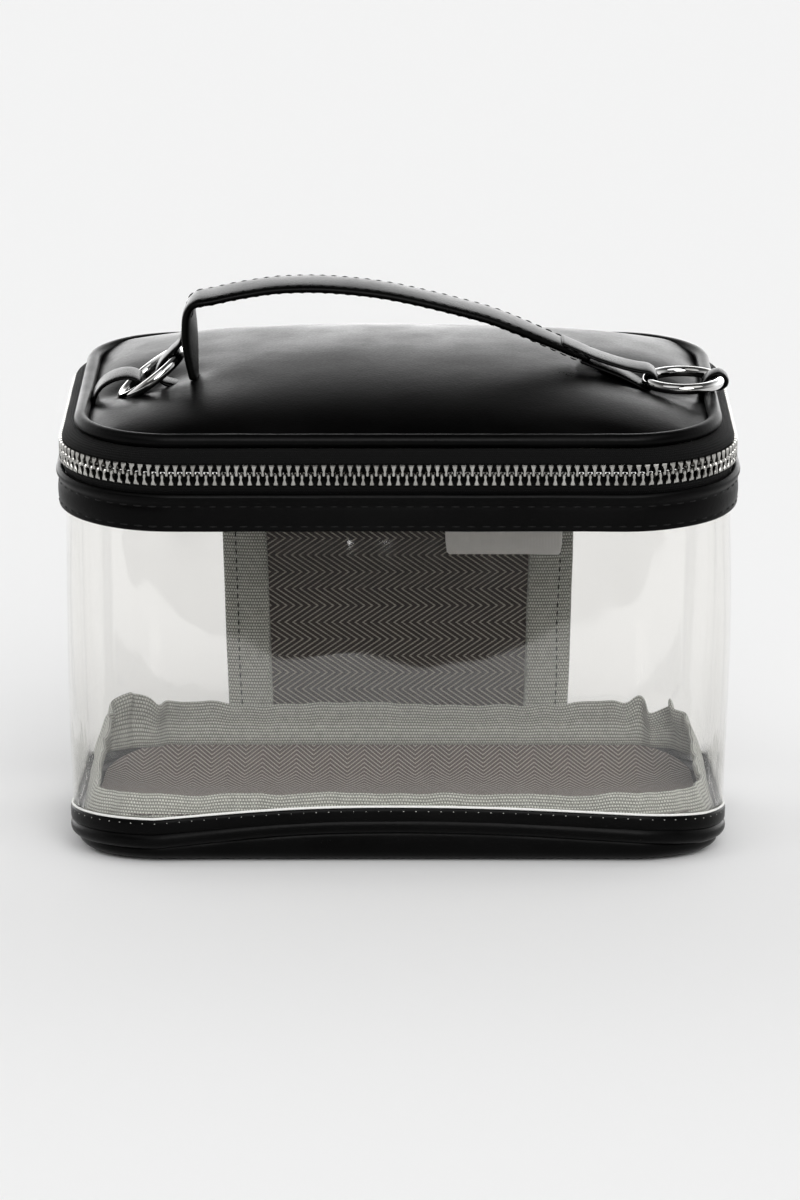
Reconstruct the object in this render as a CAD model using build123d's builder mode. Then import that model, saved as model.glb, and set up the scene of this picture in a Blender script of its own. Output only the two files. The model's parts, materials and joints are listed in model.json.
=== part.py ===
"""Clear-sided makeup bag: a train case with a padded zip-round lid, a strap handle on two rings
and a clear wall between a padded base and a leather rim band.

Frame: origin at the centre of the base on the floor, +X to the right, +Y to the hinge at the back,
+Z up. Everything from the rim band up lies in the tilted "rim frame", whose origin is at the middle
of the zip, so heights there are distances from the zip's centre line along the rim's normal.
"""

import os
from math import cos, degrees, pi, radians, sin

from build123d import *

# ---- driving dimensions (mm) ----
BASE_WIDTH = 208.6
BASE_DEPTH = 140.0
BASE_CORNER = 31.2
RIM_WIDTH = 215.0
RIM_DEPTH = 145.5
RIM_CORNER = 36.8
ZIP_HEIGHT = 133.5
RIM_TILT = 8.4

GAP = 0.1
LEATHER = 1.2
LINING = 0.6

# base
BASE_ROLL = 6.0
BASE_ROLL_HEIGHT = 7.5
BASE_CROWN_INSET = 8.0
BASE_BELLY_HEIGHT = 2.2
BASE_BELLY_INSET = 3.6
BASE_TOP_INSET = 2.8
BASE_FLOOR_DROP = 0.6
BASE_BOARD = 1.5
FLANGE = 0.8
FLANGE_TOP = 14.2
BASE_TAPE = 1.2
BASE_TAPE_TOP = 21.0

# clear wall and back panel
WALL = 0.6
WALL_BASE_INSET = 1.1
WALL_RIM_INSET = 2.1
WALL_BOTTOM = 10.6
WALL_TOP = -8.4
BACK_TAPE_OVERLAP = 2.0
LABEL_OVERLAP = 4.0
PANEL_TOP_WIDTH = 111.0
PANEL_BASE_WIDTH = 103.5
PANEL_BOARD = 1.2
BACK_TAPE = 0.8
BACK_TAPE_INNER = 10.0
BACK_TAPE_OUTER = 5.0
LABEL = 0.3
LABEL_WIDTH = 40.0
LABEL_RIGHT = 55.5
LABEL_BOTTOM = 79.5

# rim band and zip
BAND = 2.0
BAND_BOTTOM = -18.2
BAND_HEIGHT = 12.6
ZIP_TAPE = 0.8
ZIP_TAPE_FOOT = 3.2
ZIP_TAPE_STEP = 0.7
ZIP_TAPE_RISE = 1.7
TOOTH_CLEARANCE = 0.05
ZIP_PITCH = 2.7
TOOTH_LENGTH = 1.45
TOOTH_THICKNESS = 2.4
TOOTH_HEIGHT = 3.0
ROW_GAP = 0.3
ZIP_INSET = 1.75
ZIP_END = 64.0
STOP_WIDTH = 1.8
STOP_SHIFT = 0.3
HINGE_WIDTH = 120.0
HINGE_INSET = 0.3
HINGE_GAP = 1.0

# lid
LID_ROLL = 4.7
LID_ROLL_INSET = 5.3
LID_FLANGE = 5.8
LID_BOARD = 1.5
LID_BOARD_MARGIN = 2.2
LID_LINING = 0.6
LID_TAPE = 1.2
LID_TAPE_BOTTOM = 1.2
COVER = 1.0
CUSHION_HEIGHT = 15.7
CUSHION_EDGE = 10.9
CUSHION_END = 22.0

# handle
HANDLE_DEPTH = -11.0
RING_RADIUS = 11.6
RING_WIRE = 3.4
RING_PLAY = 0.45
LEFT_BAR_INSET = 19.34
LEFT_BAR_HEIGHT = 9.52
LEFT_RING_TILT = 37.0
RIGHT_BAR_INSET = 4.9
RIGHT_RING_HEIGHT = 14.6
STRAP_WIDTH = 18.0
STRAP = 3.2
STRAP_SHOULDER = 41.5
STRAP_CREST = 48.2
FOLD = 1.6
FOLD_WIDTH = 13.0
TAB = 1.4
TAB_WIDTH = 13.0
TAB_DRAPE = 1.2

# slider and pull
SLIDER_LENGTH = 11.0
SLIDER_HEIGHT = 9.4
SLIDER_PLATE = 1.3
SLIDER_CAVITY = 3.0
SLIDER_SLOT = 1.9
SLIDER_LIP = 0.7
SLIDER_WEDGE = 2.0
CROWN_SPAN = 8.6
CROWN_POST = 1.4
CROWN_POST_HEIGHT = 2.4
CROWN_BAR = 1.6
CROWN_REACH = 2.4
PULL = 1.4
PULL_WIDTH = 8.0
PULL_NECK = 4.6
PULL_NECK_LENGTH = 7.25
PULL_SHOULDER = 6.0
PULL_HOLE = 1.6
PULL_EYE = 0.9
PULL_PLAY = 0.3
PULL_LENGTH = 30.0
PULL_LEAN = 4.0

# ---- derived ----
slope = radians(RIM_TILT)
rim_normal = Vector(0, -sin(slope), cos(slope))
rim_back = Vector(0, cos(slope), sin(slope))
roll_radius = BASE_ROLL / 2
floor_top = BASE_ROLL_HEIGHT - BASE_FLOOR_DROP
row_bottom = ROW_GAP / 2
row_top = row_bottom + TOOTH_HEIGHT
tape_edge = row_top + TOOTH_CLEARANCE
tape_shoulder = row_top + ZIP_TAPE_RISE
band_top = BAND_BOTTOM + BAND_HEIGHT
lid_roll_height = LID_FLANGE + COVER + GAP + LID_ROLL / 2
zip_radius = RIM_CORNER - ZIP_INSET
corner_x = RIM_WIDTH / 2 - RIM_CORNER
corner_y = RIM_DEPTH / 2 - RIM_CORNER
left_lean = radians(LEFT_RING_TILT)
left_ring_x = LEFT_BAR_INSET - RIM_WIDTH / 2 + RING_RADIUS * cos(left_lean)
left_ring_height = LEFT_BAR_HEIGHT + RING_RADIUS * sin(left_lean)
right_ring_x = RIM_WIDTH / 2 - RIGHT_BAR_INSET - RING_RADIUS


def rim_plane(height):
    """Plane parallel to the rim at a height above the zip's centre line."""
    return Plane(Vector(0, 0, ZIP_HEIGHT) + rim_normal * height, (1, 0, 0), rim_normal)


def rim_point(x, depth, height):
    """World point of a rim-frame position."""
    return Vector(x, 0, ZIP_HEIGHT) + rim_back * depth + rim_normal * height


def side_plane(depth):
    """Vertical section of the lid at a rim-frame depth; its axes are X and the rim's height."""
    return Plane(rim_point(0, depth, 0), (1, 0, 0), -rim_back)


def rim_loop(height, inset, end_inset=None):
    """Rounded rectangle of the rim's outline, brought in by an inset."""
    width_inset = inset if end_inset is None else end_inset
    corner = max(RIM_CORNER - inset, 12.0)
    with BuildSketch(rim_plane(height)) as loop:
        RectangleRounded(RIM_WIDTH - 2 * width_inset, RIM_DEPTH - 2 * inset, corner)
    return loop.sketch


def base_loop(height, inset):
    """Rounded rectangle of the base's outline at a height above the floor."""
    with BuildSketch(Plane.XY.offset(height)) as loop:
        RectangleRounded(BASE_WIDTH - 2 * inset, BASE_DEPTH - 2 * inset, BASE_CORNER - inset)
    return loop.sketch


def shell_between(outer, inner):
    """Wall between two stacks of loops, in the part that is being built."""
    loft(outer, ruled=True)
    loft(inner, ruled=True, mode=Mode.SUBTRACT)


def rim_wall(levels, thickness):
    """Wall through (height, inset) levels of the rim."""
    outer = [rim_loop(height, inset) for height, inset in levels]
    inner = [rim_loop(height, inset + thickness) for height, inset in levels]
    shell_between(outer, inner)


def side_wall(base_height, rim_height, offset, thickness):
    """Wall layer that stands from the base to the rim, offset inwards from the clear wall's outside."""

    def loops(depth):
        base_inset = WALL_BASE_INSET + depth
        rim_inset = WALL_RIM_INSET + depth
        return [
            base_loop(base_height, base_inset),
            base_loop(FLANGE_TOP, base_inset),
            rim_loop(BAND_BOTTOM, rim_inset),
            rim_loop(rim_height, rim_inset),
        ]

    shell_between(loops(offset), loops(offset + thickness))


def back_window(low_left, low_right, high_left, high_right, mode=Mode.INTERSECT):
    """Trapezoid prism through the back wall only, given by its X limits at the base and the rim."""
    low, high = 0.0, ZIP_HEIGHT + RIM_DEPTH
    stretch = high / (ZIP_HEIGHT - low)

    def at_top(base_x, rim_x):
        return base_x + (rim_x - base_x) * stretch

    with BuildSketch(Plane.XZ) as window:
        with BuildLine():
            Polyline(
                (low_left, low),
                (low_right, low),
                (at_top(low_right, high_right), high),
                (at_top(low_left, high_left), high),
                close=True,
            )
        make_face()
    extrude(window.sketch, amount=-RIM_DEPTH, mode=mode)


def panel_window(margin, mode=Mode.INTERSECT):
    """The back panel's outline, widened by a margin on each side."""
    low, high = PANEL_BASE_WIDTH / 2 + margin, PANEL_TOP_WIDTH / 2 + margin
    back_window(-low, low, -high, high, mode)


def back_strip(inner, outer):
    """Right-hand strip along the panel's edge, between two distances out from that edge."""
    low, high = PANEL_BASE_WIDTH / 2, PANEL_TOP_WIDTH / 2
    back_window(low + inner, low + outer, high + inner, high + outer)


def roll(loop, radius):
    """Piping: a round cord along a closed loop."""
    path = loop.face().outer_wire()
    with BuildSketch(Plane(path @ 0, z_dir=path % 0)) as section:
        Circle(radius)
    sweep(section.sketch, path=path)


def finish(part, label):
    part.label = label
    export_step(part, "parts/" + label + ".step")


def zip_place(distance):
    """Rim-plane point and heading on the zip's centre line, measured from the middle of the back
    clockwise as seen from above: right side, front, left side, back again."""
    half_x = corner_x
    half_y = corner_y
    arc = pi / 2 * zip_radius
    runs = [half_x, arc, 2 * half_y, arc, 2 * half_x, arc, 2 * half_y, arc, half_x]
    starts = [
        (0, half_y + zip_radius),
        (half_x, half_y),
        (half_x + zip_radius, half_y),
        (half_x, -half_y),
        (half_x, -half_y - zip_radius),
        (-half_x, -half_y),
        (-half_x - zip_radius, -half_y),
        (-half_x, half_y),
        (-half_x, half_y + zip_radius),
    ]
    for index, (length, start) in enumerate(zip(runs, starts)):
        heading = -90.0 * ((index + 1) // 2)
        if distance <= length or index == len(runs) - 1:
            break
        distance -= length
    if index % 2 == 0:
        away = radians(heading)
        return start[0] + distance * cos(away), start[1] + distance * sin(away), heading
    heading = -90.0 * ((index - 1) // 2)
    turned = heading - degrees(distance / zip_radius)
    away = radians(turned + 90)
    return start[0] + zip_radius * cos(away), start[1] + zip_radius * sin(away), turned


def zip_length():
    return 4 * corner_x + 4 * corner_y + 2 * pi * zip_radius


def tooth_row(height):
    """Row of teeth whose middle is at a height, from the slider round to the far end stop."""
    first = corner_x + SLIDER_LENGTH / 2 + ZIP_PITCH / 2
    last = zip_length() - ZIP_END - STOP_WIDTH
    count = int((last - first) / ZIP_PITCH)
    places = [zip_place(first + index * ZIP_PITCH) for index in range(count)]
    with BuildSketch(rim_plane(height - TOOTH_HEIGHT / 2)) as teeth:
        for x, depth, heading in places:
            with Locations(Location((x, depth, 0), (0, 0, heading))):
                Rectangle(TOOTH_LENGTH, TOOTH_THICKNESS)
    extrude(teeth.sketch, amount=TOOTH_HEIGHT)


def cut_zip_at_hinge():
    """Takes a zip tape away along the hinge, where the back panel joins the lid."""
    with BuildSketch(rim_plane(BAND_BOTTOM)) as stretch:
        with Locations((0, RIM_DEPTH / 2)):
            Rectangle(2 * (ZIP_END - STOP_WIDTH), RIM_CORNER)
    extrude(stretch.sketch, amount=2 * abs(BAND_BOTTOM), mode=Mode.SUBTRACT)


def keep_hinge():
    """Keeps only the hinge's stretch of a wall."""
    with BuildSketch(rim_plane(BAND_BOTTOM)) as stretch:
        with Locations((0, RIM_DEPTH / 2)):
            Rectangle(HINGE_WIDTH, RIM_CORNER)
    extrude(stretch.sketch, amount=2 * abs(BAND_BOTTOM), mode=Mode.INTERSECT)


def ring_plane(x, height, tilt):
    """Plane of a ring whose left side is lowered and right side raised by a tilt, about the rim's
    own fore-and-aft direction."""
    lean = radians(tilt)
    along = Vector(cos(lean), 0, 0) + rim_normal * sin(lean)
    return Plane(rim_point(x, HANDLE_DEPTH, height), along, along.cross(rim_back))


def ring_bar(x, height, tilt, side):
    """Section point (X, height) of a ring's wire at one end of its length."""
    lean = radians(tilt)
    return x + side * RING_RADIUS * cos(lean), height + side * RING_RADIUS * sin(lean)


os.makedirs("parts", exist_ok=True)

# ---- base: leather tray, padding, board, lining, piping, flange and binding tape ----
cover_top = BASE_ROLL_HEIGHT - roll_radius - GAP
belly = BASE_BELLY_HEIGHT
with BuildPart() as base_cover:
    tray = [
        base_loop(0, BASE_CROWN_INSET),
        base_loop(belly, BASE_BELLY_INSET),
        base_loop(cover_top, BASE_TOP_INSET),
    ]
    loft(tray, ruled=True)
    cavity = [
        base_loop(LEATHER, BASE_CROWN_INSET + LEATHER),
        base_loop(belly + LEATHER / 2, BASE_BELLY_INSET + LEATHER),
        base_loop(cover_top, BASE_TOP_INSET + LEATHER),
    ]
    loft(cavity, ruled=True, mode=Mode.SUBTRACT)
finish(base_cover.part, "base_cover")

with BuildPart() as base_padding:
    pad = [
        base_loop(LEATHER + GAP / 2, BASE_CROWN_INSET + LEATHER + GAP),
        base_loop(belly + LEATHER / 2, BASE_BELLY_INSET + LEATHER + GAP),
        base_loop(cover_top, BASE_TOP_INSET + LEATHER + GAP),
    ]
    loft(pad, ruled=True)
finish(base_padding.part, "base_padding")

board_inset = BASE_ROLL + 3 * GAP
board_bottom = cover_top + GAP
with BuildPart() as base_board:
    loft([base_loop(board_bottom, board_inset), base_loop(board_bottom + BASE_BOARD, board_inset)])
finish(base_board.part, "base_board")

lining_bottom = board_bottom + BASE_BOARD + GAP / 2
with BuildPart() as base_lining:
    loft([base_loop(lining_bottom, board_inset), base_loop(floor_top, board_inset)])
finish(base_lining.part, "base_lining")

with BuildPart() as base_piping:
    roll(base_loop(BASE_ROLL_HEIGHT, roll_radius), roll_radius)
finish(base_piping.part, "base_piping")

flange_bottom = BASE_ROLL_HEIGHT + (roll_radius**2 - (roll_radius - FLANGE) ** 2) ** 0.5 + GAP
with BuildPart() as base_flange:
    shell_between(
        [base_loop(flange_bottom, 0), base_loop(FLANGE_TOP, 0)],
        [base_loop(flange_bottom, FLANGE), base_loop(FLANGE_TOP, FLANGE)],
    )
finish(base_flange.part, "base_flange")

with BuildPart() as base_binding:
    shell_between(
        [base_loop(floor_top + GAP, board_inset), base_loop(BASE_TAPE_TOP, board_inset)],
        [
            base_loop(floor_top + GAP, board_inset + BASE_TAPE),
            base_loop(BASE_TAPE_TOP, board_inset + BASE_TAPE),
        ],
    )
finish(base_binding.part, "base_binding")

# ---- clear wall round the front, sides and back corners ----
with BuildPart() as clear_wall:
    side_wall(WALL_BOTTOM, WALL_TOP, 0, WALL)
    panel_window(GAP, Mode.SUBTRACT)
finish(clear_wall.part, "clear_wall")

# ---- back panel: leather outside, board, herringbone lining, edge binding tapes, care label ----
board_offset = LEATHER + GAP
lining_offset = board_offset + PANEL_BOARD + GAP
tape_offset = lining_offset + LINING + GAP
with BuildPart() as back_panel:
    side_wall(WALL_BOTTOM, WALL_TOP, 0, LEATHER)
    panel_window(0)
finish(back_panel.part, "back_panel")

with BuildPart() as back_board:
    side_wall(WALL_BOTTOM, WALL_TOP, board_offset, PANEL_BOARD)
    panel_window(0)
finish(back_board.part, "back_board")

with BuildPart() as back_lining:
    side_wall(WALL_BOTTOM, WALL_TOP, lining_offset, LINING)
    panel_window(0)
finish(back_lining.part, "back_lining")

back_tape_top = BAND_BOTTOM + BACK_TAPE_OVERLAP
with BuildPart() as tape_face:
    side_wall(WALL_BOTTOM, back_tape_top, tape_offset, BACK_TAPE)
    back_strip(-BACK_TAPE_INNER, BACK_TAPE_OUTER)
with BuildPart() as back_binding_right:
    side_wall(WALL_BOTTOM, back_tape_top, WALL + GAP, tape_offset - WALL - GAP)
    back_strip(GAP, BACK_TAPE_OUTER)
    add(tape_face.part)
finish(back_binding_right.part, "back_binding_right")

with BuildPart() as back_binding_left:
    mirror(back_binding_right.part, about=Plane.YZ)
finish(back_binding_left.part, "back_binding_left")

label_offset = tape_offset + BACK_TAPE + GAP
label_left = LABEL_RIGHT - LABEL_WIDTH
with BuildPart() as care_label:
    side_wall(WALL_BOTTOM, BAND_BOTTOM + LABEL_OVERLAP, label_offset, LABEL)
    with BuildSketch(Plane.XY.offset(LABEL_BOTTOM)):
        with Locations(((LABEL_RIGHT + label_left) / 2, BASE_DEPTH / 2)):
            Rectangle(LABEL_WIDTH, BASE_CORNER)
    extrude(amount=RIM_DEPTH, mode=Mode.INTERSECT)
finish(care_label.part, "care_label")

# ---- rim band, lower half of the zip and the hinge strip's lower half ----
with BuildPart() as rim_band:
    rim_wall([(BAND_BOTTOM, 0), (band_top, 0)], BAND)
finish(rim_band.part, "rim_band")

tape_line = ZIP_INSET - ZIP_TAPE / 2
with BuildPart() as lower_zip_tape:
    rim_wall(
        [
            (BAND_BOTTOM + ZIP_TAPE_FOOT, WALL_RIM_INSET + WALL + GAP),
            (WALL_TOP + GAP, WALL_RIM_INSET + WALL + GAP),
            (band_top, BAND + GAP),
            (band_top + ZIP_TAPE_STEP, tape_line),
            (-tape_edge, tape_line),
        ],
        ZIP_TAPE,
    )
    cut_zip_at_hinge()
finish(lower_zip_tape.part, "lower_zip_tape")

with BuildPart() as lower_zip_teeth:
    tooth_row(-(row_bottom + TOOTH_HEIGHT / 2))
finish(lower_zip_teeth.part, "lower_zip_teeth")

stop_x = ZIP_END - STOP_WIDTH / 2 + STOP_SHIFT
with BuildPart() as lower_zip_stops:
    with BuildSketch(rim_plane(-row_top)):
        for side in (-1, 1):
            with Locations((side * stop_x, corner_y + zip_radius)):
                Rectangle(STOP_WIDTH, TOOTH_THICKNESS)
    extrude(amount=TOOTH_HEIGHT)
finish(lower_zip_stops.part, "lower_zip_stops")

with BuildPart() as hinge_strip_lower:
    rim_wall([(band_top + GAP, HINGE_INSET), (-HINGE_GAP / 2, HINGE_INSET)], LEATHER)
    keep_hinge()
finish(hinge_strip_lower.part, "hinge_strip_lower")

# ---- lid: hinge strip's upper half, upper half of the zip, piping, cushion, board, lining ----
tape_rise = LID_FLANGE + COVER
lid_tape_inset = LID_ROLL_INSET + 1.0
with BuildPart() as hinge_strip_upper:
    rim_wall(
        [(HINGE_GAP / 2, HINGE_INSET), (tape_shoulder, HINGE_INSET), (tape_rise, lid_tape_inset)],
        ZIP_TAPE,
    )
    keep_hinge()
finish(hinge_strip_upper.part, "hinge_strip_upper")

with BuildPart() as upper_zip_tape:
    rim_wall([(tape_edge, tape_line), (tape_shoulder, tape_line), (tape_rise, lid_tape_inset)], ZIP_TAPE)
    cut_zip_at_hinge()
finish(upper_zip_tape.part, "upper_zip_tape")

with BuildPart() as upper_zip_teeth:
    tooth_row(row_bottom + TOOTH_HEIGHT / 2)
finish(upper_zip_teeth.part, "upper_zip_teeth")

with BuildPart() as upper_zip_stops:
    with BuildSketch(rim_plane(row_bottom)):
        for side in (-1, 1):
            with Locations((side * stop_x, corner_y + zip_radius)):
                Rectangle(STOP_WIDTH, TOOTH_THICKNESS)
    extrude(amount=TOOTH_HEIGHT)
finish(upper_zip_stops.part, "upper_zip_stops")

with BuildPart() as lid_piping:
    roll(rim_loop(lid_roll_height, LID_ROLL_INSET + LID_ROLL / 2), LID_ROLL / 2)
finish(lid_piping.part, "lid_piping")

# the cushion rises steeply from its long edges and gently from its two ends
cushion_base = LID_FLANGE + COVER
cushion_levels = [
    (0.0, CUSHION_EDGE, CUSHION_END),
    (0.20, CUSHION_EDGE + 2.0, CUSHION_END + 7.0),
    (0.53, CUSHION_EDGE + 8.0, CUSHION_END + 25.0),
    (0.82, CUSHION_EDGE + 25.0, CUSHION_END + 48.0),
    (1.0, CUSHION_EDGE + 43.0, CUSHION_END + 66.0),
]


def cushion(thickness):
    """Domed cushion, brought in by a thickness."""
    loops = [
        rim_loop(
            cushion_base - thickness + share * CUSHION_HEIGHT, inset + thickness, end + thickness
        )
        for share, inset, end in cushion_levels
    ]
    for low, high in zip(loops, loops[1:]):
        loft([low, high], ruled=True)


with BuildPart() as lid_foam:
    cushion(COVER + GAP)
finish(lid_foam.part, "lid_foam")

flange_inset = lid_tape_inset + ZIP_TAPE + GAP
with BuildPart() as cushion_hollow:
    cushion(COVER)
with BuildPart() as lid_cover:
    cushion(0)
    loft([rim_loop(LID_FLANGE, flange_inset), rim_loop(cushion_base, flange_inset)])
    add(cushion_hollow.part, mode=Mode.SUBTRACT)
finish(lid_cover.part, "lid_cover")

lid_inner_inset = flange_inset + LID_BOARD_MARGIN
board_top = LID_FLANGE - GAP
board_low = board_top - LID_BOARD
with BuildPart() as lid_board:
    loft([rim_loop(board_low, lid_inner_inset), rim_loop(board_top, lid_inner_inset)])
finish(lid_board.part, "lid_board")

lid_lining_top = board_low - GAP
with BuildPart() as lid_lining:
    loft(
        [
            rim_loop(lid_lining_top - LID_LINING, lid_inner_inset),
            rim_loop(lid_lining_top, lid_inner_inset),
        ]
    )
finish(lid_lining.part, "lid_lining")

lid_binding_inset = lid_inner_inset - GAP - LID_TAPE
with BuildPart() as lid_binding:
    rim_wall([(LID_TAPE_BOTTOM, lid_binding_inset), (board_top, lid_binding_inset)], LID_TAPE)
finish(lid_binding.part, "lid_binding")

# ---- rings, tabs and strap ----
wire = RING_WIRE / 2
hole = wire + RING_PLAY
left_ring_place = ring_plane(left_ring_x, left_ring_height, LEFT_RING_TILT)
right_ring_place = ring_plane(right_ring_x, RIGHT_RING_HEIGHT, 0)


def ring(place):
    with BuildSketch(Plane(place.origin, place.x_dir, -place.y_dir)) as section:
        with Locations((RING_RADIUS, 0)):
            Circle(wire)
    revolve(section.sketch, axis=Axis(place.origin, place.z_dir))


with BuildPart() as left_ring:
    ring(left_ring_place)
finish(left_ring.part, "left_ring")

with BuildPart() as right_ring:
    ring(right_ring_place)
finish(right_ring.part, "right_ring")


def bar_slot(x, height, tilt, side, width, radius, mode=Mode.ADD):
    """Slot-shaped sketch round a ring's wire, long enough for the wire's curve over a width."""
    curve = RING_RADIUS - (RING_RADIUS**2 - (width / 2) ** 2) ** 0.5
    lean = radians(tilt)
    bar_x, bar_height = ring_bar(x, height, tilt, side)
    back_x, back_height = bar_x - side * curve * cos(lean), bar_height - side * curve * sin(lean)
    with Locations(Location(((bar_x + back_x) / 2, (bar_height + back_height) / 2, 0), (0, 0, tilt))):
        SlotCenterToCenter(curve, 2 * radius, mode=mode)


left_ring_spec = (left_ring_x, left_ring_height, LEFT_RING_TILT)
right_ring_spec = (right_ring_x, RIGHT_RING_HEIGHT, 0)
groove_left = -(RIM_WIDTH / 2 - LID_ROLL_INSET - LID_ROLL - GAP)
left_bar = ring_bar(*left_ring_spec, -1)
with BuildPart() as left_tab:
    with BuildSketch(side_plane(HANDLE_DEPTH)):
        bar_slot(*left_ring_spec, -1, TAB_WIDTH, hole + TAB)
        with BuildLine():
            Polyline(
                (groove_left, cushion_base),
                (left_bar[0], cushion_base),
                (left_bar[0], cushion_base + 2 * TAB),
                (groove_left, cushion_base + TAB),
                close=True,
            )
        make_face()
        bar_slot(*left_ring_spec, -1, TAB_WIDTH, hole, Mode.SUBTRACT)
    extrude(amount=TAB_WIDTH / 2, both=True)
finish(left_tab.part, "left_tab")

right_bar = ring_bar(*right_ring_spec, 1)
roll_crest = RIM_WIDTH / 2 - LID_ROLL_INSET - LID_ROLL / 2
roll_top = lid_roll_height + LID_ROLL / 2
with BuildPart() as right_tab:
    with BuildSketch(side_plane(HANDLE_DEPTH)):
        bar_slot(*right_ring_spec, 1, TAB_WIDTH, hole + TAB)
        with BuildLine():
            Polyline(
                (-groove_left, cushion_base),
                (-groove_left, lid_roll_height + TAB_DRAPE),
                (roll_crest - TAB_DRAPE / 2, roll_top + GAP),
                (right_bar[0] - hole, roll_top + GAP),
                (right_bar[0] - hole, roll_top + GAP + TAB),
                (roll_crest - TAB_DRAPE, roll_top + GAP + TAB),
                (-groove_left - TAB, lid_roll_height + TAB_DRAPE),
                (-groove_left - TAB, cushion_base),
                close=True,
            )
        make_face()
        bar_slot(*right_ring_spec, 1, TAB_WIDTH, hole, Mode.SUBTRACT)
    extrude(amount=TAB_WIDTH / 2, both=True)
finish(right_tab.part, "right_tab")

left_top_bar = ring_bar(*left_ring_spec, 1)
right_inner_bar = ring_bar(*right_ring_spec, -1)
strap_left = left_top_bar[0] + hole + FOLD / 2
strap_end = (right_inner_bar[0] - hole - FOLD, right_inner_bar[1] + hole + FOLD / 2)
half_width = RIM_WIDTH / 2
strap_points = [
    (strap_left, left_top_bar[1] + hole + 2 * FOLD),
    (strap_left, STRAP_SHOULDER),
    (-0.251 * half_width, STRAP_CREST),
    (0.205 * half_width, 38.4),
    (0.558 * half_width, 20.9),
    strap_end,
]
with BuildPart() as handle_strap:
    with BuildSketch(side_plane(HANDLE_DEPTH)):
        with BuildLine() as strap_line:
            FilletPolyline(*strap_points, radius=[5.0, 90.0, 120.0, 60.0])
        trace(strap_line.line, line_width=STRAP)
    extrude(amount=STRAP_WIDTH / 2, both=True)
    with BuildSketch(side_plane(HANDLE_DEPTH)):
        bar_slot(*left_ring_spec, 1, FOLD_WIDTH, hole + FOLD)
        bar_slot(*right_ring_spec, -1, FOLD_WIDTH, hole + FOLD)
        with Locations((strap_left, left_top_bar[1])):
            Rectangle(STRAP, 2 * (hole + 2 * FOLD))
        with Locations((strap_end[0] + FOLD, strap_end[1])):
            Rectangle(3 * FOLD, FOLD)
    extrude(amount=FOLD_WIDTH / 2, both=True)
    with BuildSketch(side_plane(HANDLE_DEPTH)):
        bar_slot(*left_ring_spec, 1, FOLD_WIDTH, hole)
        bar_slot(*right_ring_spec, -1, FOLD_WIDTH, hole)
    extrude(amount=STRAP_WIDTH, both=True, mode=Mode.SUBTRACT)
finish(handle_strap.part, "handle_strap")

# ---- slider, parked past the last teeth at the right-hand back corner, and its pull ----
slider_depth = corner_y + zip_radius
plate_middle = (SLIDER_CAVITY + SLIDER_PLATE) / 2
crown_depth = SLIDER_CAVITY / 2 + SLIDER_PLATE + CROWN_REACH
slider_plane = Plane(rim_point(corner_x, slider_depth, 0), (1, 0, 0), rim_normal)
with BuildPart(slider_plane) as slider:
    with Locations((0, plate_middle, 0), (0, -plate_middle, 0)):
        Box(SLIDER_LENGTH, SLIDER_PLATE, SLIDER_HEIGHT)
    lip = (SLIDER_CAVITY - SLIDER_SLOT) / 2
    lip_depth = (SLIDER_SLOT + lip) / 2
    lip_height = (SLIDER_HEIGHT - SLIDER_LIP) / 2
    with GridLocations(0, 2 * lip_depth, 1, 2):
        with Locations((0, 0, lip_height), (0, 0, -lip_height)):
            Box(SLIDER_LENGTH, lip, SLIDER_LIP)
    with Locations((SLIDER_LENGTH / 4, 0, 0)):
        Box(SLIDER_LENGTH / 2, SLIDER_CAVITY, SLIDER_WEDGE)
    post_x = (CROWN_SPAN - CROWN_POST) / 2
    post_reach = CROWN_REACH + CROWN_BAR
    with Locations((0, crown_depth - CROWN_REACH + post_reach / 2 - GAP, 0)):
        with GridLocations(2 * post_x, 0, 2, 1):
            Box(CROWN_POST, post_reach, CROWN_POST_HEIGHT)
    with Locations(Location((0, crown_depth, 0), (0, 90, 0))):
        Cylinder(CROWN_BAR / 2, CROWN_SPAN - CROWN_POST)
finish(slider.part, "slider")

crown_point = rim_point(corner_x, slider_depth + crown_depth, 0)
lean = radians(PULL_LEAN)
pull_down = rim_normal * -cos(lean) - rim_back * sin(lean)
pull_plane = Plane(crown_point, (1, 0, 0), Vector(1, 0, 0).cross(pull_down))
eye_radius = CROWN_BAR / 2 + PULL_PLAY
with BuildPart(pull_plane) as slider_pull:
    with Locations(Location((0, 0, 0), (0, 90, 0))):
        Cylinder(eye_radius + PULL_EYE, PULL_NECK)
    with BuildSketch(pull_plane):
        with Locations((0, PULL_NECK_LENGTH / 2)):
            Rectangle(PULL_NECK, PULL_NECK_LENGTH)
        with Locations((0, (PULL_LENGTH + PULL_SHOULDER) / 2)):
            RectangleRounded(PULL_WIDTH, PULL_LENGTH - PULL_SHOULDER, PULL_WIDTH / 3)
        with Locations((0, PULL_LENGTH - PULL_SHOULDER)):
            Circle(PULL_HOLE, mode=Mode.SUBTRACT)
    extrude(amount=PULL / 2, both=True)
    with Locations(Location((0, 0, 0), (0, 90, 0))):
        Cylinder(eye_radius, 2 * PULL_NECK, mode=Mode.SUBTRACT)
finish(slider_pull.part, "slider_pull")
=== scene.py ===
"""Looks of the clear-sided makeup bag: leather, vinyl, herringbone, tapes, zip and thread, built
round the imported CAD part. Lengths are in mm until a mesh is made.

Most pieces run round one of two rounded rectangles, the base's or the rim's. A place on either is
given by t, the walk round it from the middle of the back, clockwise from above, an inset from the
outline, and a height. The rim's heights lie along its own tilted normal, from the zip's middle.
"""

import math

import json

import bmesh
import bpy
import numpy as np
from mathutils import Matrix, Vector, noise


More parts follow.
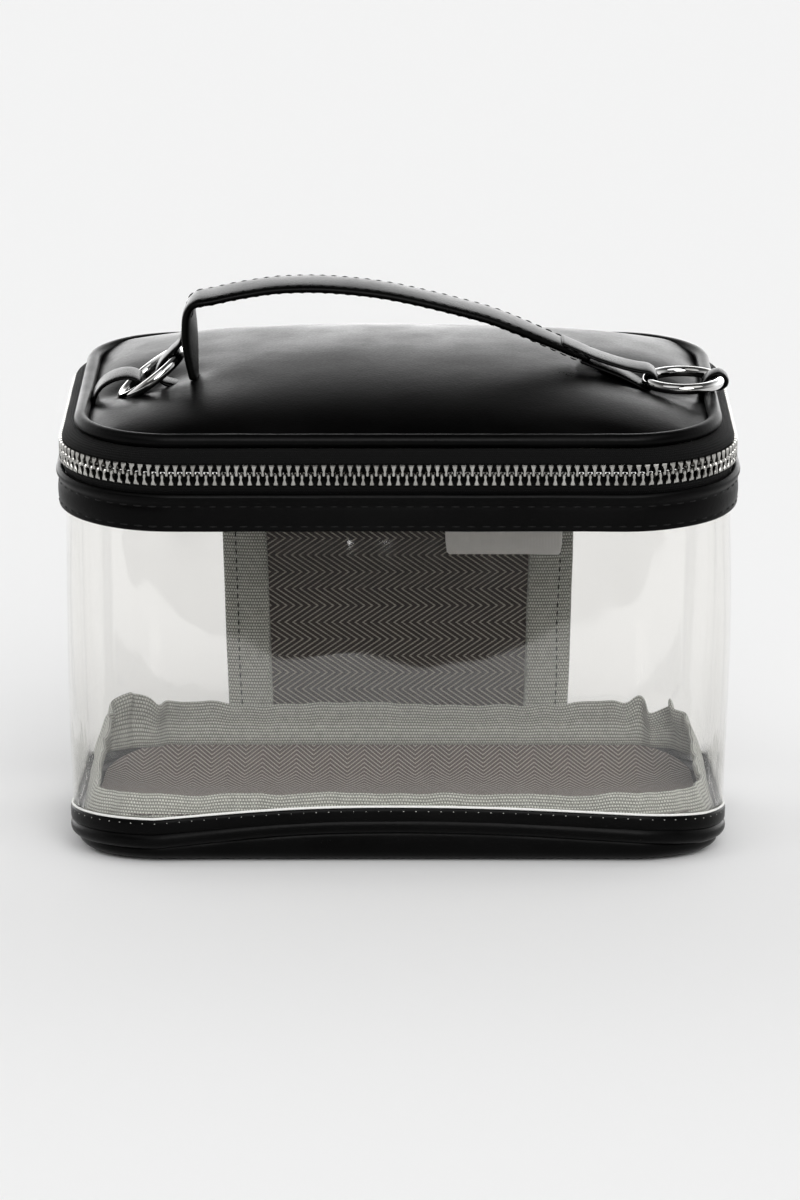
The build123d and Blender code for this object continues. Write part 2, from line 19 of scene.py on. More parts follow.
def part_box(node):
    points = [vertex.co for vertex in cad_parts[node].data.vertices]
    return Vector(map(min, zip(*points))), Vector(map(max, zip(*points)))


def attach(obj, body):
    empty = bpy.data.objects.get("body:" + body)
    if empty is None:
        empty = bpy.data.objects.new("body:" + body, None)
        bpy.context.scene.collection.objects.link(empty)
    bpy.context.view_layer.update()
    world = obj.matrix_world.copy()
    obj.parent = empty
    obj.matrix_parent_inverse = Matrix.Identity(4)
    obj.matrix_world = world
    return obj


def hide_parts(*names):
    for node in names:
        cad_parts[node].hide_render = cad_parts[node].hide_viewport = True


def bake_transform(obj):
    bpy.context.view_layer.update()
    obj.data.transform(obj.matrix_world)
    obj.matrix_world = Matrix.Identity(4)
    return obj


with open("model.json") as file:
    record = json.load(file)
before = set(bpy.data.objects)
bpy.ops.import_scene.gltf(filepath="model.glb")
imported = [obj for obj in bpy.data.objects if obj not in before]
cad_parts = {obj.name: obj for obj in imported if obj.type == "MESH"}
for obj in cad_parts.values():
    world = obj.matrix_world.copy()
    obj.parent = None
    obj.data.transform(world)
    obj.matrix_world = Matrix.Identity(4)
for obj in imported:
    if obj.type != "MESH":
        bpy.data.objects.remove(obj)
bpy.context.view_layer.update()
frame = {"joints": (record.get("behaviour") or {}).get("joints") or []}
MM = 0.001

# ---- sizes shared with the CAD (mm) ----
joints = {joint["name"]: joint for joint in frame["joints"]}
rim_normal = -Vector(joints["slider_travel"]["axis"])
rim_back = rim_normal.cross(Vector((1, 0, 0)))
turn_point = Vector(joints["slider_travel"]["pos_m"]) / MM
zip_height = turn_point.z - turn_point.y * rim_back.z / rim_back.y
sine, cosine = rim_back.z, rim_back.y


def box_size(node):
    low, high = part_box(node)
    return (high - low) / MM


band_size = box_size("rim_band")
RIM = (
    band_size.x,
    (band_size.y * cosine - band_size.z * sine) / (cosine**2 - sine**2),
    36.8,
)
BASE = (box_size("base_piping").x, box_size("base_piping").y, 31.2)
BASE_ROLL = 3.0
BASE_ROLL_HEIGHT = 7.5
FLANGE_TOP = 14.2
WALL_BOTTOM = 10.6
WALL_BASE_INSET = 1.1
WALL_RIM_INSET = 2.1
WALL = 0.6
BAND_BOTTOM = -18.2
BAND_TOP = -5.6
PANEL_BASE = 103.5 / 2
PANEL_TOP = 111.0 / 2
ZIP_INSET = 1.75
ZIP_PITCH = 2.7
HINGE_HALF = 60.0
TAPE_END = 62.2
LID_SEAM = 6.8
LID_ROLL = 2.35
LID_ROLL_INSET = 7.65
LID_ROLL_HEIGHT = 9.25
CUSHION_HEIGHT = 15.7
HANDLE_DEPTH = -11.0
FLOOR_INSET = 6.6
CUSHION_INSET = 8.6

# ---- walks and places ----
LONG, SHORT, ARC = 48, 28, 16
LEGS = [
    ((0, 1), (1, 1), 90, 90, LONG // 2),
    ((1, 1), (1, 1), 90, 0, ARC),
    ((1, 1), (1, -1), 0, 0, SHORT),
    ((1, -1), (1, -1), 0, -90, ARC),
    ((1, -1), (-1, -1), -90, -90, LONG),
    ((-1, -1), (-1, -1), -90, -180, ARC),
    ((-1, -1), (-1, 1), -180, -180, SHORT),
    ((-1, 1), (-1, 1), -180, -270, ARC),
    ((-1, 1), (0, 1), -270, -270, LONG // 2),
]
corners = np.cumsum([0] + [leg[4] for leg in LEGS])
TURN = int(corners[-1])
WHOLE = np.arange(TURN, dtype=float)
walk_x = [leg[0][0] for leg in LEGS] + [LEGS[-1][1][0]]
walk_y = [leg[0][1] for leg in LEGS] + [LEGS[-1][1][1]]
walk_angle = [leg[2] for leg in LEGS] + [LEGS[-1][3]]


def ring(shape, inset, t):
    """Points of a rounded rectangle (width, depth, corner) brought in by an inset."""
    width, depth, corner = shape
    t = np.mod(t, TURN)
    radius = np.maximum(corner - inset, 3.0)
    angle = np.radians(np.interp(t, corners, walk_angle))
    x = np.interp(t, corners, walk_x) * (width / 2 - inset - radius) + radius * np.cos(angle)
    y = np.interp(t, corners, walk_y) * (depth / 2 - inset - radius) + radius * np.sin(angle)
    return x, y


def rim(x, depth, height):
    """World points of places in the rim's frame."""
    x, depth, height = np.broadcast_arrays(x, depth, height)
    return np.stack(
        [x, cosine * depth - sine * height, zip_height + sine * depth + cosine * height], axis=-1
    )


def on_rim(t, inset, height):
    x, depth = ring(RIM, inset, t)
    return rim(x, depth, height)


def on_base(t, inset, height):
    x, y = ring(BASE, inset, t)
    return np.stack(np.broadcast_arrays(x, y, height), axis=-1)


def on_wall(t, inset, height):
    """Places on the wall from its foot, height 0, to the band's lower edge, height 1, and on."""
    foot = on_base(t, WALL_BASE_INSET + inset, WALL_BOTTOM)
    head = on_rim(t, WALL_RIM_INSET + inset, BAND_BOTTOM)
    return foot + (head - foot) * np.asarray(height)[..., None]


def on_back(side, inset, height):
    """Places on the flat back: side runs from -1 to 1 between the panel's slanting edges."""
    side, inset, height = np.broadcast_arrays(side, inset, height)
    foot_y = BASE[1] / 2 - WALL_BASE_INSET - inset
    foot = np.stack([side * PANEL_BASE, foot_y, np.full(side.shape, WALL_BOTTOM)], axis=-1)
    head = rim(side * PANEL_TOP, RIM[1] / 2 - WALL_RIM_INSET - inset, BAND_BOTTOM)
    return foot + (head - foot) * height[..., None]


def ease(value, low, high):
    """Smooth rise from 0 at low to 1 at high."""
    share = np.clip((np.asarray(value, dtype=float) - low) / (high - low), 0, 1)
    return share * share * (3 - 2 * share)


def ripple(values, scale, seed):
    """Smooth repeatable noise of an array, from -1 to 1."""
    flat = np.asarray(values, dtype=float)
    out = [noise.noise(Vector((v * scale, seed * 7.3, seed * 1.9))) for v in flat.ravel()]
    return np.array(out).reshape(flat.shape)


def round_ripple(t, waves, seed):
    """Noise along a walk that meets itself again after a whole turn."""
    angle = np.asarray(t, dtype=float) / TURN * 2 * math.pi
    flat = [
        noise.noise(Vector((waves * math.cos(a), waves * math.sin(a), seed * 5.1)))
        for a in angle.ravel()
    ]
    return np.array(flat).reshape(angle.shape)


def at_corner(t):
    """1 in the middle of each corner and 0 along the straight sides."""
    t = np.mod(t, TURN)
    total = 0
    for index in (1, 3, 5, 7):
        middle = (corners[index] + corners[index + 1]) / 2
        total = total + np.exp(-(((t - middle) / (ARC * 0.55)) ** 2))
    return total


def at_front(t):
    """1 in the middle of the front, falling to 0 at its corners."""
    reach = np.abs(np.mod(t, TURN) - TURN / 2) / (LONG / 2)
    return np.where(reach < 1, np.cos(np.clip(reach, 0, 1) * math.pi / 2) ** 2, 0.0)


# ---- meshes ----
def make(name, verts, faces, body, finish, uvs=None, level=0):
    """A piece from points in mm. uvs holds one (u, v) in mm for each corner of each face."""
    mesh = bpy.data.meshes.new(name)
    mesh.from_pydata((np.asarray(verts) * MM).tolist(), [], faces)
    if uvs is not None:
        layer = mesh.uv_layers.new(name="cloth")
        layer.data.foreach_set("uv", (np.asarray(uvs, dtype=float) * MM).ravel())
    work = bmesh.new()
    work.from_mesh(mesh)
    bmesh.ops.recalc_face_normals(work, faces=work.faces)
    work.to_mesh(mesh)
    work.free()
    mesh.polygons.foreach_set("use_smooth", [True] * len(mesh.polygons))
    mesh.materials.append(finish)
    piece = bpy.data.objects.new(name, mesh)
    bpy.context.scene.collection.objects.link(piece)
    if level:
        rounding = piece.modifiers.new("rounding", "SUBSURF")
        rounding.levels = rounding.render_levels = level
    if body:
        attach(piece, body)
    return piece


def lengths(grid, axis):
    """Average distance along one axis of a grid of points."""
    steps = np.linalg.norm(np.diff(grid, axis=axis), axis=-1).mean(axis=1 - axis)
    return np.concatenate([[0], np.cumsum(steps)])


def skin(name, grid, body, finish, around=True, level=1):
    """Tube through a grid of closed sections. around closes the run of sections into a loop;
    otherwise its two ends are capped."""
    rows, columns = grid.shape[:2]
    wrapped = np.concatenate([grid, grid[:1]], axis=0)
    wrapped = np.concatenate([wrapped, wrapped[:, :1]], axis=1) if around else wrapped
    along, over = lengths(wrapped, 1), lengths(wrapped, 0)
    faces, uvs = [], []
    for i in range(rows):
        for j in range(columns if around else columns - 1):
            nexts = ((i + 1) % rows, (j + 1) % columns)
            faces.append(
                [
                    i * columns + j,
                    nexts[0] * columns + j,
                    nexts[0] * columns + nexts[1],
                    i * columns + nexts[1],
                ]
            )
            uvs += [
                (along[j], over[i]),
                (along[j], over[i + 1]),
                (along[j + 1], over[i + 1]),
                (along[j + 1], over[i]),
            ]
    if not around:
        for j in (0, columns - 1):
            faces.append([i * columns + j for i in range(rows)])
            uvs += [(along[j], over[i]) for i in range(rows)]
    return make(name, grid.reshape(-1, 3), faces, body, finish, uvs, level)


def slab(name, outer, inner, body, finish, level=1):
    """Closed sheet between two grids of points."""
    return skin(name, np.concatenate([outer, inner[::-1]]), body, finish, False, level)


def band(name, place, profile, thickness, body, finish, t=WHOLE, around=True, shift=None):
    """Strip of a thickness that runs round the bag. profile lists (inset, height) up its outside,
    and shift(t, height) gives what to add to both. With no thickness, profile is the whole section."""
    line = np.asarray(profile, dtype=float)
    if thickness is None:
        section = line
    else:
        tangent = np.gradient(line, axis=0)
        tangent /= np.linalg.norm(tangent, axis=1)[:, None]
        inside = line + np.stack([tangent[:, 1], -tangent[:, 0]], axis=1) * thickness
        lower = (line[0] + inside[0]) / 2 - tangent[0] * thickness * 0.25
        upper = (line[-1] + inside[-1]) / 2 + tangent[-1] * thickness * 0.25
        section = np.concatenate([line, [upper], inside[::-1], [lower]])
    inset = np.repeat(section[:, :1], len(t), axis=1)
    height = np.repeat(section[:, 1:], len(t), axis=1)
    if shift is not None:
        more_inset, more_height = shift(t[None, :], height)
        inset, height = inset + more_inset, height + more_height
    return skin(name, place(t[None, :], inset, height), body, finish, around)


def tube(name, points, radius, up, body, finish, sides=12):
    """Round roll along a closed line of points."""
    following = np.roll(points, -1, axis=0) - np.roll(points, 1, axis=0)
    following /= np.linalg.norm(following, axis=1)[:, None]
    side = np.cross(following, np.asarray(up, dtype=float))
    side /= np.linalg.norm(side, axis=1)[:, None]
    top = np.cross(side, following)
    radius = np.broadcast_to(radius, (len(points),))
    grid = [
        points + (math.cos(a) * side + math.sin(a) * top) * radius[:, None]
        for a in np.linspace(0, 2 * math.pi, sides, endpoint=False)
    ]
    return skin(name, np.stack(grid), body, finish)


def scatter(name, template, faces, spots, body, finish):
    """One mesh of many copies of a small form, each at a spot (origin, three axes)."""
    verts, all_faces = [], []
    for number, (origin, axes) in enumerate(spots):
        verts.append(origin + template @ axes)
        all_faces += [[index + number * len(template) for index in face] for face in faces]
    return make(name, np.concatenate(verts), all_faces, body, finish)


def bead_form():
    """Pointed ellipsoid of unit half axes, long along its first axis."""
    sides, rings = 6, 4
    verts, faces = [(-1, 0, 0)], []
    for k in range(1, rings):
        a = math.pi * k / rings
        for i in range(sides):
            b = 2 * math.pi * i / sides
            verts.append((-math.cos(a), math.sin(a) * math.cos(b), math.sin(a) * math.sin(b)))
    verts.append((1, 0, 0))
    last = len(verts) - 1
    for i in range(sides):
        j = (i + 1) % sides
        faces.append([0, 1 + i, 1 + j])
        for k in range(rings - 2):
            low = 1 + k * sides
            faces.append([low + i, low + sides + i, low + sides + j, low + j])
        faces.append([last, last - sides + j, last - sides + i])
    return np.array(verts, dtype=float), faces


def spots_along(points, outward, pitch, first=0.0, last=None, offset=0.0):
    """Even spots along a line, each with its along, across and outward directions."""
    distance = np.concatenate([[0], np.cumsum(np.linalg.norm(np.diff(points, axis=0), axis=1))])
    last = distance[-1] if last is None else last
    spots = []
    for d in np.arange(first + offset, last, pitch):
        at = np.array([np.interp(d, distance, points[:, k]) for k in range(3)])
        ahead = np.array([np.interp(d + 0.5, distance, points[:, k]) for k in range(3)])
        behind = np.array([np.interp(d - 0.5, distance, points[:, k]) for k in range(3)])
        along = (ahead - behind) / max(np.linalg.norm(ahead - behind), 1e-9)
        out = np.array([np.interp(d, distance, outward[:, k]) for k in range(3)])
        out -= along * (out @ along)
        out /= np.linalg.norm(out)
        spots.append((at, np.array([along, np.cross(out, along), out])))
    return spots


def thread(name, points, outward, body, finish, pitch=4.7, length=3.3, radius=0.34, sink=0.08, **ends):
    """Row of stitches along a line: one bead of thread a stitch, its ends pulled into the cloth."""
    form, faces = bead_form()
    form = form * [length / 2, radius, radius]
    form[:, 2] -= 0.18 * np.abs(form[:, 0] / (length / 2)) ** 2 + sink
    spots = spots_along(points, outward, pitch, **ends)
    return scatter(name, form, faces, spots, body, finish)


def round_line(place, inset, height):
    """Line round the bag with its outward directions."""
    steps = 900
    t = np.linspace(0.0, float(TURN), steps)
    points = place(t, np.full(steps, float(inset)), np.full(steps, float(height)))
    inner = place(t, np.full(steps, inset + 1.0), np.full(steps, float(height)))
    return points, points - inner


# ---- materials ----
def colour(hexes):
    """Scene colour of an sRGB value written as six hex digits."""
    parts = [int(hexes[i : i + 2], 16) / 255 for i in (0, 2, 4)]
    return [p / 12.92 if p <= 0.04045 else ((p + 0.055) / 1.055) ** 2.4 for p in parts] + [1.0]


def node(tree, kind, *values, **settings):
    """Adds a shader node. A value is a constant or another node's socket; None keeps the default."""
    made = tree.nodes.new("ShaderNode" + kind)
    for key, value in settings.items():
        setattr(made, key, value)
    for socket, value in zip(made.inputs, values):
        if isinstance(value, bpy.types.NodeSocket):
            tree.links.new(value, socket)
        elif value is not None:
            socket.default_value = value
    return made.outputs[0]


def maths(tree, operation, *values):
    return node(tree, "Math", *values, operation=operation)


def ramp(tree, value, low, high, to_low=0.0, to_high=1.0):
    return node(tree, "MapRange", value, low, high, to_low, to_high)


def blend_colours(tree, share, first, second):
    made = tree.nodes.new("ShaderNodeMix")
    made.data_type = "RGBA"
    for name, value in (("Factor", share), ("A", first), ("B", second)):
        sockets = [s for s in made.inputs if s.name == name and s.enabled]
        if isinstance(value, bpy.types.NodeSocket):
            tree.links.new(value, sockets[0])
        else:
            sockets[0].default_value = value
    return [s for s in made.outputs if s.enabled][0]


def noise_at(tree, where, scale, detail=2.0, rough=0.5):
    return node(tree, "TexNoise", where, None, scale, detail, rough)


def new_material(name, **sockets):
    made = bpy.data.materials.new(name)
    made.use_nodes = True
    tree = made.node_tree
    shader = tree.nodes["Principled BSDF"]
    for key, value in sockets.items():
        shader.inputs[key.replace("_", " ")].default_value = value
    return made, tree, shader


def place_of(tree):
    where = tree.nodes.new("ShaderNodeTexCoord")
    return where.outputs["Object"]


def cloth_place(tree):
    """The piece's own run and width in metres, and the two apart."""
    where = tree.nodes.new("ShaderNodeUVMap")
    where.uv_map = "cloth"
    apart = tree.nodes.new("ShaderNodeSeparateXYZ")
    tree.links.new(where.outputs[0], apart.inputs[0])
    return where.outputs[0], apart.outputs[0], apart.outputs[1]


def bump(tree, shader, height, distance, strength=1.0, below=None):
    made = tree.nodes.new("ShaderNodeBump")
    made.inputs["Strength"].default_value = strength
    made.inputs["Distance"].default_value = distance
    tree.links.new(height, made.inputs["Height"])
    if below is not None:
        tree.links.new(below, made.inputs["Normal"])
    tree.links.new(made.outputs[0], shader.inputs["Normal"])
    return made.outputs[0]


def leather(name, dark="020202", light="060606", rough=0.3, grain=0.00005, crease=0.00012):
    """Smooth black faux leather: a fine pebble grain, faint creases and a slightly worn sheen."""
    made, tree, shader = new_material(name, Specular_IOR_Level=0.06)
    where = place_of(tree)
    patches = noise_at(tree, where, 38.0, 4.0, 0.6)
    tree.links.new(
        blend_colours(tree, ramp(tree, patches, 0.35, 0.75), colour(dark), colour(light)),
        shader.inputs["Base Color"],
    )
    pebbles = node(tree, "TexVoronoi", where, None, 1500.0, feature="SMOOTH_F1")
    folds = noise_at(tree, where, 160.0, 5.0, 0.62)
    sheen = maths(
        tree, "ADD", ramp(tree, patches, 0.3, 0.7, rough - 0.05, rough + 0.07),
        ramp(tree, pebbles, 0.0, 0.6, 0.0, 0.05),
    )
    tree.links.new(sheen, shader.inputs["Roughness"])
    first = bump(tree, shader, folds, crease, 0.55)
    bump(tree, shader, pebbles, grain, 0.6, first)
    return made


def herringbone(name, ground=("1d1512", "322722"), lines=("a29c90", "cbc6ba")):
    """Dark brown cloth with thin beige lines in rows of chevrons."""
    made, tree, shader = new_material(name, Roughness=0.82, Sheen_Weight=0.12, Sheen_Roughness=0.5)
    where, run, rise = cloth_place(tree)
    row, line, slant = 0.0057, 0.00265, 1.5
    fold = maths(tree, "PINGPONG", rise, row)
    phase = maths(tree, "MULTIPLY", maths(tree, "MULTIPLY_ADD", fold, slant, run), 1 / line)
    saw = maths(tree, "PINGPONG", phase, 0.5)
    stripe = ramp(tree, saw, 0.10, 0.19, 1.0, 0.0)
    dots = maths(tree, "PINGPONG", maths(tree, "MULTIPLY", rise, 1 / 0.00055), 0.5)
    thread_lines = maths(tree, "PINGPONG", maths(tree, "MULTIPLY", run, 1 / 0.00044), 0.5)
    spots = maths(tree, "MULTIPLY", stripe, ramp(tree, dots, 0.08, 0.3, 0.45, 1.0))
    cloudy = noise_at(tree, where, 240.0, 3.0)
    base = blend_colours(tree, cloudy, colour(ground[0]), colour(ground[1]))
    beige = blend_colours(tree, cloudy, colour(lines[0]), colour(lines[1]))
    tree.links.new(blend_colours(tree, spots, base, beige), shader.inputs["Base Color"])
    weave = maths(
        tree, "ADD", maths(tree, "MULTIPLY", spots, 1.2),
        maths(tree, "ADD", maths(tree, "MULTIPLY", dots, 0.5), maths(tree, "MULTIPLY", thread_lines, 0.5)),
    )
    bump(tree, shader, weave, 0.00022, 0.9)
    return made


def webbing(name, light="d3d4cc", dark="74756e", pitch=0.00105, rib=0.0009, gap=0.5, sheen=0.1, shine=0.4):
    """Plain woven tape: a grid of small raised threads, with painted shade in the gaps between them."""
    made, tree, shader = new_material(
        name, Roughness=0.78, Sheen_Weight=sheen, Sheen_Roughness=0.5, Specular_IOR_Level=shine
    )
    where, run, rise = cloth_place(tree)
    across = maths(tree, "MULTIPLY", rise, 1 / pitch)
    along = maths(tree, "MULTIPLY", run, 1 / rib)
    shifted = maths(tree, "MULTIPLY_ADD", maths(tree, "FLOOR", across), 0.5, along)
    ups = maths(tree, "SINE", maths(tree, "MULTIPLY", across, 2 * math.pi))
    sides = maths(tree, "SINE", maths(tree, "MULTIPLY", shifted, 2 * math.pi))
    humps = maths(
        tree, "MULTIPLY", maths(tree, "MULTIPLY_ADD", ups, 0.5, 0.5),
        maths(tree, "MULTIPLY_ADD", sides, 0.5, 0.5),
    )
    worn = noise_at(tree, where, 420.0, 3.0)
    # The colour runs from dark in the gaps to light on the raised threads, which is painted shade of the
    # weave, plus a random worn tone.
    share = maths(tree, "ADD", ramp(tree, humps, 0.02, gap), ramp(tree, worn, 0.3, 0.7, -0.15, 0.12))
    tree.links.new(blend_colours(tree, share, colour(dark), colour(light)), shader.inputs["Base Color"])
    bump(tree, shader, humps, 0.00025, 0.9)
    return made


def vinyl(name):
    """Clear soft vinyl: it shows what is behind it and mirrors more the more it turns away."""
    made = bpy.data.materials.new(name)
    made.use_nodes = True
    tree = made.node_tree
    tree.nodes.clear()
    where = place_of(tree)
    through = tree.nodes.new("ShaderNodeBsdfTransparent")
    through.inputs["Color"].default_value = (0.985, 0.982, 0.975, 1.0)
    gloss = tree.nodes.new("ShaderNodeBsdfGlossy")
    gloss.inputs["Color"].default_value = (1.0, 1.0, 1.0, 1.0)
    smears = noise_at(tree, where, 30.0, 3.0)
    tree.links.new(ramp(tree, smears, 0.3, 0.7, 0.025, 0.07), gloss.inputs["Roughness"])
    turned = tree.nodes.new("ShaderNodeLayerWeight")
    turned.inputs["Blend"].default_value = 0.5
    mirrored = maths(tree, "MULTIPLY_ADD", maths(tree, "POWER", turned.outputs["Facing"], 5.0), 0.8, 0.055)
    waves = tree.nodes.new("ShaderNodeBump")
    waves.inputs["Distance"].default_value = 0.0004
    waves.inputs["Strength"].default_value = 0.35
    tree.links.new(noise_at(tree, where, 22.0, 2.0), waves.inputs["Height"])
    tree.links.new(waves.outputs[0], gloss.inputs["Normal"])
    mix = tree.nodes.new("ShaderNodeMixShader")
    tree.links.new(mirrored, mix.inputs[0])
    tree.links.new(through.outputs[0], mix.inputs[1])
    tree.links.new(gloss.outputs[0], mix.inputs[2])
    out = tree.nodes.new("ShaderNodeOutputMaterial")
    tree.links.new(mix.outputs[0], out.inputs[0])
    return made


def metal(name, tone, rough, wear=0.08):
    """Plated metal with faint handling marks."""
    made, tree, shader = new_material(name, Metallic=1.0)
    where = place_of(tree)
    marks = noise_at(tree, where, 900.0, 4.0, 0.65)
    broad = noise_at(tree, where, 120.0, 2.0)
    tree.links.new(
        blend_colours(tree, ramp(tree, broad, 0.3, 0.8), colour(tone), colour("8f8d89")),
        shader.inputs["Base Color"],
    )
    tree.links.new(ramp(tree, marks, 0.35, 0.75, rough, rough + wear), shader.inputs["Roughness"])
    bump(tree, shader, marks, 0.00001, 0.4)
    return made


def thread_finish(name, tone, light):
    """Twisted polyester thread."""
    made, tree, shader = new_material(name, Roughness=0.6, Specular_IOR_Level=0.15)
    where = place_of(tree)
    twist = noise_at(tree, where, 1800.0, 2.0)
    tree.links.new(blend_colours(tree, twist, colour(tone), colour(light)), shader.inputs["Base Color"])
    bump(tree, shader, twist, 0.00008, 0.7)
    return made


def satin(name):
    """White woven label tape, blank, with its fine ribs."""
    made, tree, shader = new_material(name, Roughness=0.5, Sheen_Weight=0.1)
    where, run, rise = cloth_place(tree)
    ribs = maths(tree, "SINE", maths(tree, "MULTIPLY", run, 2 * math.pi / 0.0005))
    worn = noise_at(tree, where, 300.0, 3.0)
    tree.links.new(blend_colours(tree, worn, colour("d6d5d2"), colour("e9e8e6")), shader.inputs["Base Color"])
    bump(tree, shader, ribs, 0.00005, 0.5)
    return made


black_leather = leather("black_leather")
strap_leather = leather("strap_leather", "020202", "070706", 0.26, 0.00005, 0.0001)
herringbone_cloth = herringbone("herringbone")
# The padded floor's cloth is the same herringbone in lighter colours: painted light, standing in for the
# light that falls on the floor through the vinyl.
floor_cloth_painted_lit = herringbone("floor_herringbone_painted_lit", ("4c3c35", "62514a"), ("beb6ab", "dfd9cf"))
grey_tape = webbing("grey_tape")
zip_cloth = webbing("zip_cloth", "0c0c0c", "030303", 0.0009, 0.0006, 0.7, 0.02, 0.1)
clear_vinyl = vinyl("clear_vinyl")
# The pale roll along the vinyl's foot is a painted highlight: it stands in for the light caught along the
# clear sheet's edge.
vinyl_edge_painted_highlight = thread_finish("vinyl_edge_painted_highlight", "c9c9c6", "f2f2ef")
zip_metal = metal("zip_metal", "b4b3af", 0.18)
chrome = metal("chrome", "e6e6e6", 0.05, 0.04)
black_thread = thread_finish("black_thread", "050505", "121212")
grey_thread = thread_finish("grey_thread", "8d8d88", "c3c3be")
label_satin = satin("label_satin")

# ---- base: leather bottom, roll, flange, herringbone floor and its binding tape ----

def arch(t):
    """Lift of the base's seam: it bows up along the front, a little more to the right."""
    across = TURN / 2 - np.mod(t, TURN)
    reach = np.where(across > 0, across / (LONG / 2 + ARC * 0.55), -across / (LONG / 2 + 1))
    return 4.3 * np.cos(np.clip(reach, 0, 1) * math.pi / 2) + 0.4 * round_ripple(t, 2.0, 3)


def back_rise(y):
    """How much higher the padded floor and its tape stand towards the back."""
    return 7.5 * ease(y, -45.0, 66.0)


def patch(columns, rows):
    """Grid over a rounded rectangle as (t, share): share runs from 0 at the middle to 1 at the
    outline, packed closer towards it."""
    a = np.sin(np.linspace(-1, 1, columns + 1) * math.pi / 2)[None, :].repeat(rows + 1, axis=0)
    b = np.sin(np.linspace(-1, 1, rows + 1) * math.pi / 2)[:, None].repeat(columns + 1, axis=1)
    share = np.maximum(np.abs(a), np.abs(b))
    safe = np.where(share > 0, share, 1)
    a, b = a / safe, b / safe
    back_half = LONG / 2 + ARC / 2
    side_half = SHORT / 2 + ARC / 2
    t = np.where(
        b >= 1 - 1e-9, a * back_half,
        np.where(
            a >= 1 - 1e-9, back_half + (1 - b) * side_half,
            np.where(
                b <= -1 + 1e-9, back_half + 2 * side_half + (1 - a) * back_half,
                3 * back_half + 2 * side_half + (1 + b) * side_half,
            ),
        ),
    )
    return t, share


def spread(place, inset, height_of, columns, rows):
    """Grid of points over a rounded rectangle, at heights given by height_of(x, y, share, t)."""
    t, share = patch(columns, rows)
    shape = RIM if place is on_rim else BASE
    x, y = ring(shape, inset, t)
    x, y = x * share, y * share
    height = height_of(x, y, share, t)
    return rim(x, y, height) if place is on_rim else np.stack([x, y, height], axis=-1)


def pillow(name, place, inset, top_of, bottom_of, body, finish, cells=(44, 30), turned=False):
    """Closed form between two crowned faces that meet at a rounded outline. turned lays its cloth
    with the run from front to back."""
    top = spread(place, inset, top_of, *cells)
    bottom = spread(place, inset, bottom_of, *cells)
    rows, columns = top.shape[:2]
    count = rows * columns
    run = 1 if turned else 0
    faces, uvs = [], []
    for side, grid in enumerate((top, bottom)):
        flat = grid.reshape(-1, 3)
        for i in range(rows - 1):
            for j in range(columns - 1):
                first, above = i * columns + j, (i + 1) * columns + j
                quad = [first, first + 1, above + 1, above]
                faces.append([side * count + index for index in quad])
                uvs += [(flat[index][run], flat[index][1 - run]) for index in quad]
    verts = np.concatenate([top.reshape(-1, 3), bottom.reshape(-1, 3)])
    piece = make(name, verts, faces, body, finish, uvs)
    work = bmesh.new()
    work.from_mesh(piece.data)
    bmesh.ops.remove_doubles(work, verts=work.verts, dist=1e-6)
    bmesh.ops.recalc_face_normals(work, faces=work.faces)
    work.to_mesh(piece.data)
    work.free()
    rounding = piece.modifiers.new("rounding", "SUBSURF")
    rounding.levels = rounding.render_levels = 1
    return piece


def swell(piece, pinned, cap):
    """Cloth simulation of a stuffed piece, applied to its mesh. pinned(point) keeps a point, and
    no point moves more than cap, in mm."""
    pressure, steps = 4.0, 20
    mesh = piece.data
    held = piece.vertex_groups.new(name="held")
    for vertex in mesh.vertices:
        held.add([vertex.index], float(pinned(vertex.co / MM)), "REPLACE")
    start = np.array([vertex.co[:] for vertex in mesh.vertices])
    rounding = piece.modifiers.get("rounding")
    if rounding:
        rounding.show_viewport = False
    cloth = piece.modifiers.new("cloth", "CLOTH")
    settings = cloth.settings
    settings.vertex_group_mass = "held"
    settings.use_pressure = True
    settings.uniform_pressure_force = pressure
    settings.mass = 0.4
    settings.tension_stiffness = settings.compression_stiffness = 20
    settings.bending_stiffness = 2.0
    settings.quality = 6
    settings.effector_weights.gravity = 0
    cloth.collision_settings.use_collision = False
    cloth.point_cache.frame_start, cloth.point_cache.frame_end = 1, steps
    scene = bpy.context.scene
    for step in range(1, steps + 1):
        scene.frame_set(step)
    moved_mesh = piece.evaluated_get(bpy.context.evaluated_depsgraph_get()).to_mesh()
    moved = np.array([vertex.co[:] for vertex in moved_mesh.vertices]) - start
    piece.evaluated_get(bpy.context.evaluated_depsgraph_get()).to_mesh_clear()
    reach = np.linalg.norm(moved, axis=1, keepdims=True)
    limit = cap * MM
    moved *= np.where(reach > 0, limit * np.tanh(reach / limit) / np.maximum(reach, 1e-12), 0)
    mesh.vertices.foreach_set("co", (start + moved).ravel())
    piece.modifiers.remove(cloth)
    scene.frame_set(1)
    if rounding:
        rounding.show_viewport = True
    mesh.update()


base_tray = band(
    "base_tray",
    on_base,
    [(40.0, 0.9), (13.0, 0.05), (8.5, 0.35), (5.2, 1.2), (3.3, 2.6), (2.8, 3.9), (3.4, 5.2)],
    1.2,
    "case",
    black_leather,
    shift=lambda t, h: (
        0.5 * round_ripple(t, 7.0, 1) * ease(h, 0.5, 2.5),
        1.25 * arch(t) * ease(h, 0.6, 4.2),
    ),
)
pillow(
    "base_sole",
    on_base,
    9.0,
    lambda x, y, share, t: 2.6 + 0 * x,
    lambda x, y, share, t: 0.25 + 2.35 * ease(share, 0.97, 1.0),
    "case",
    black_leather,
    cells=(36, 24),
)
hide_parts("base_cover", "base_padding")

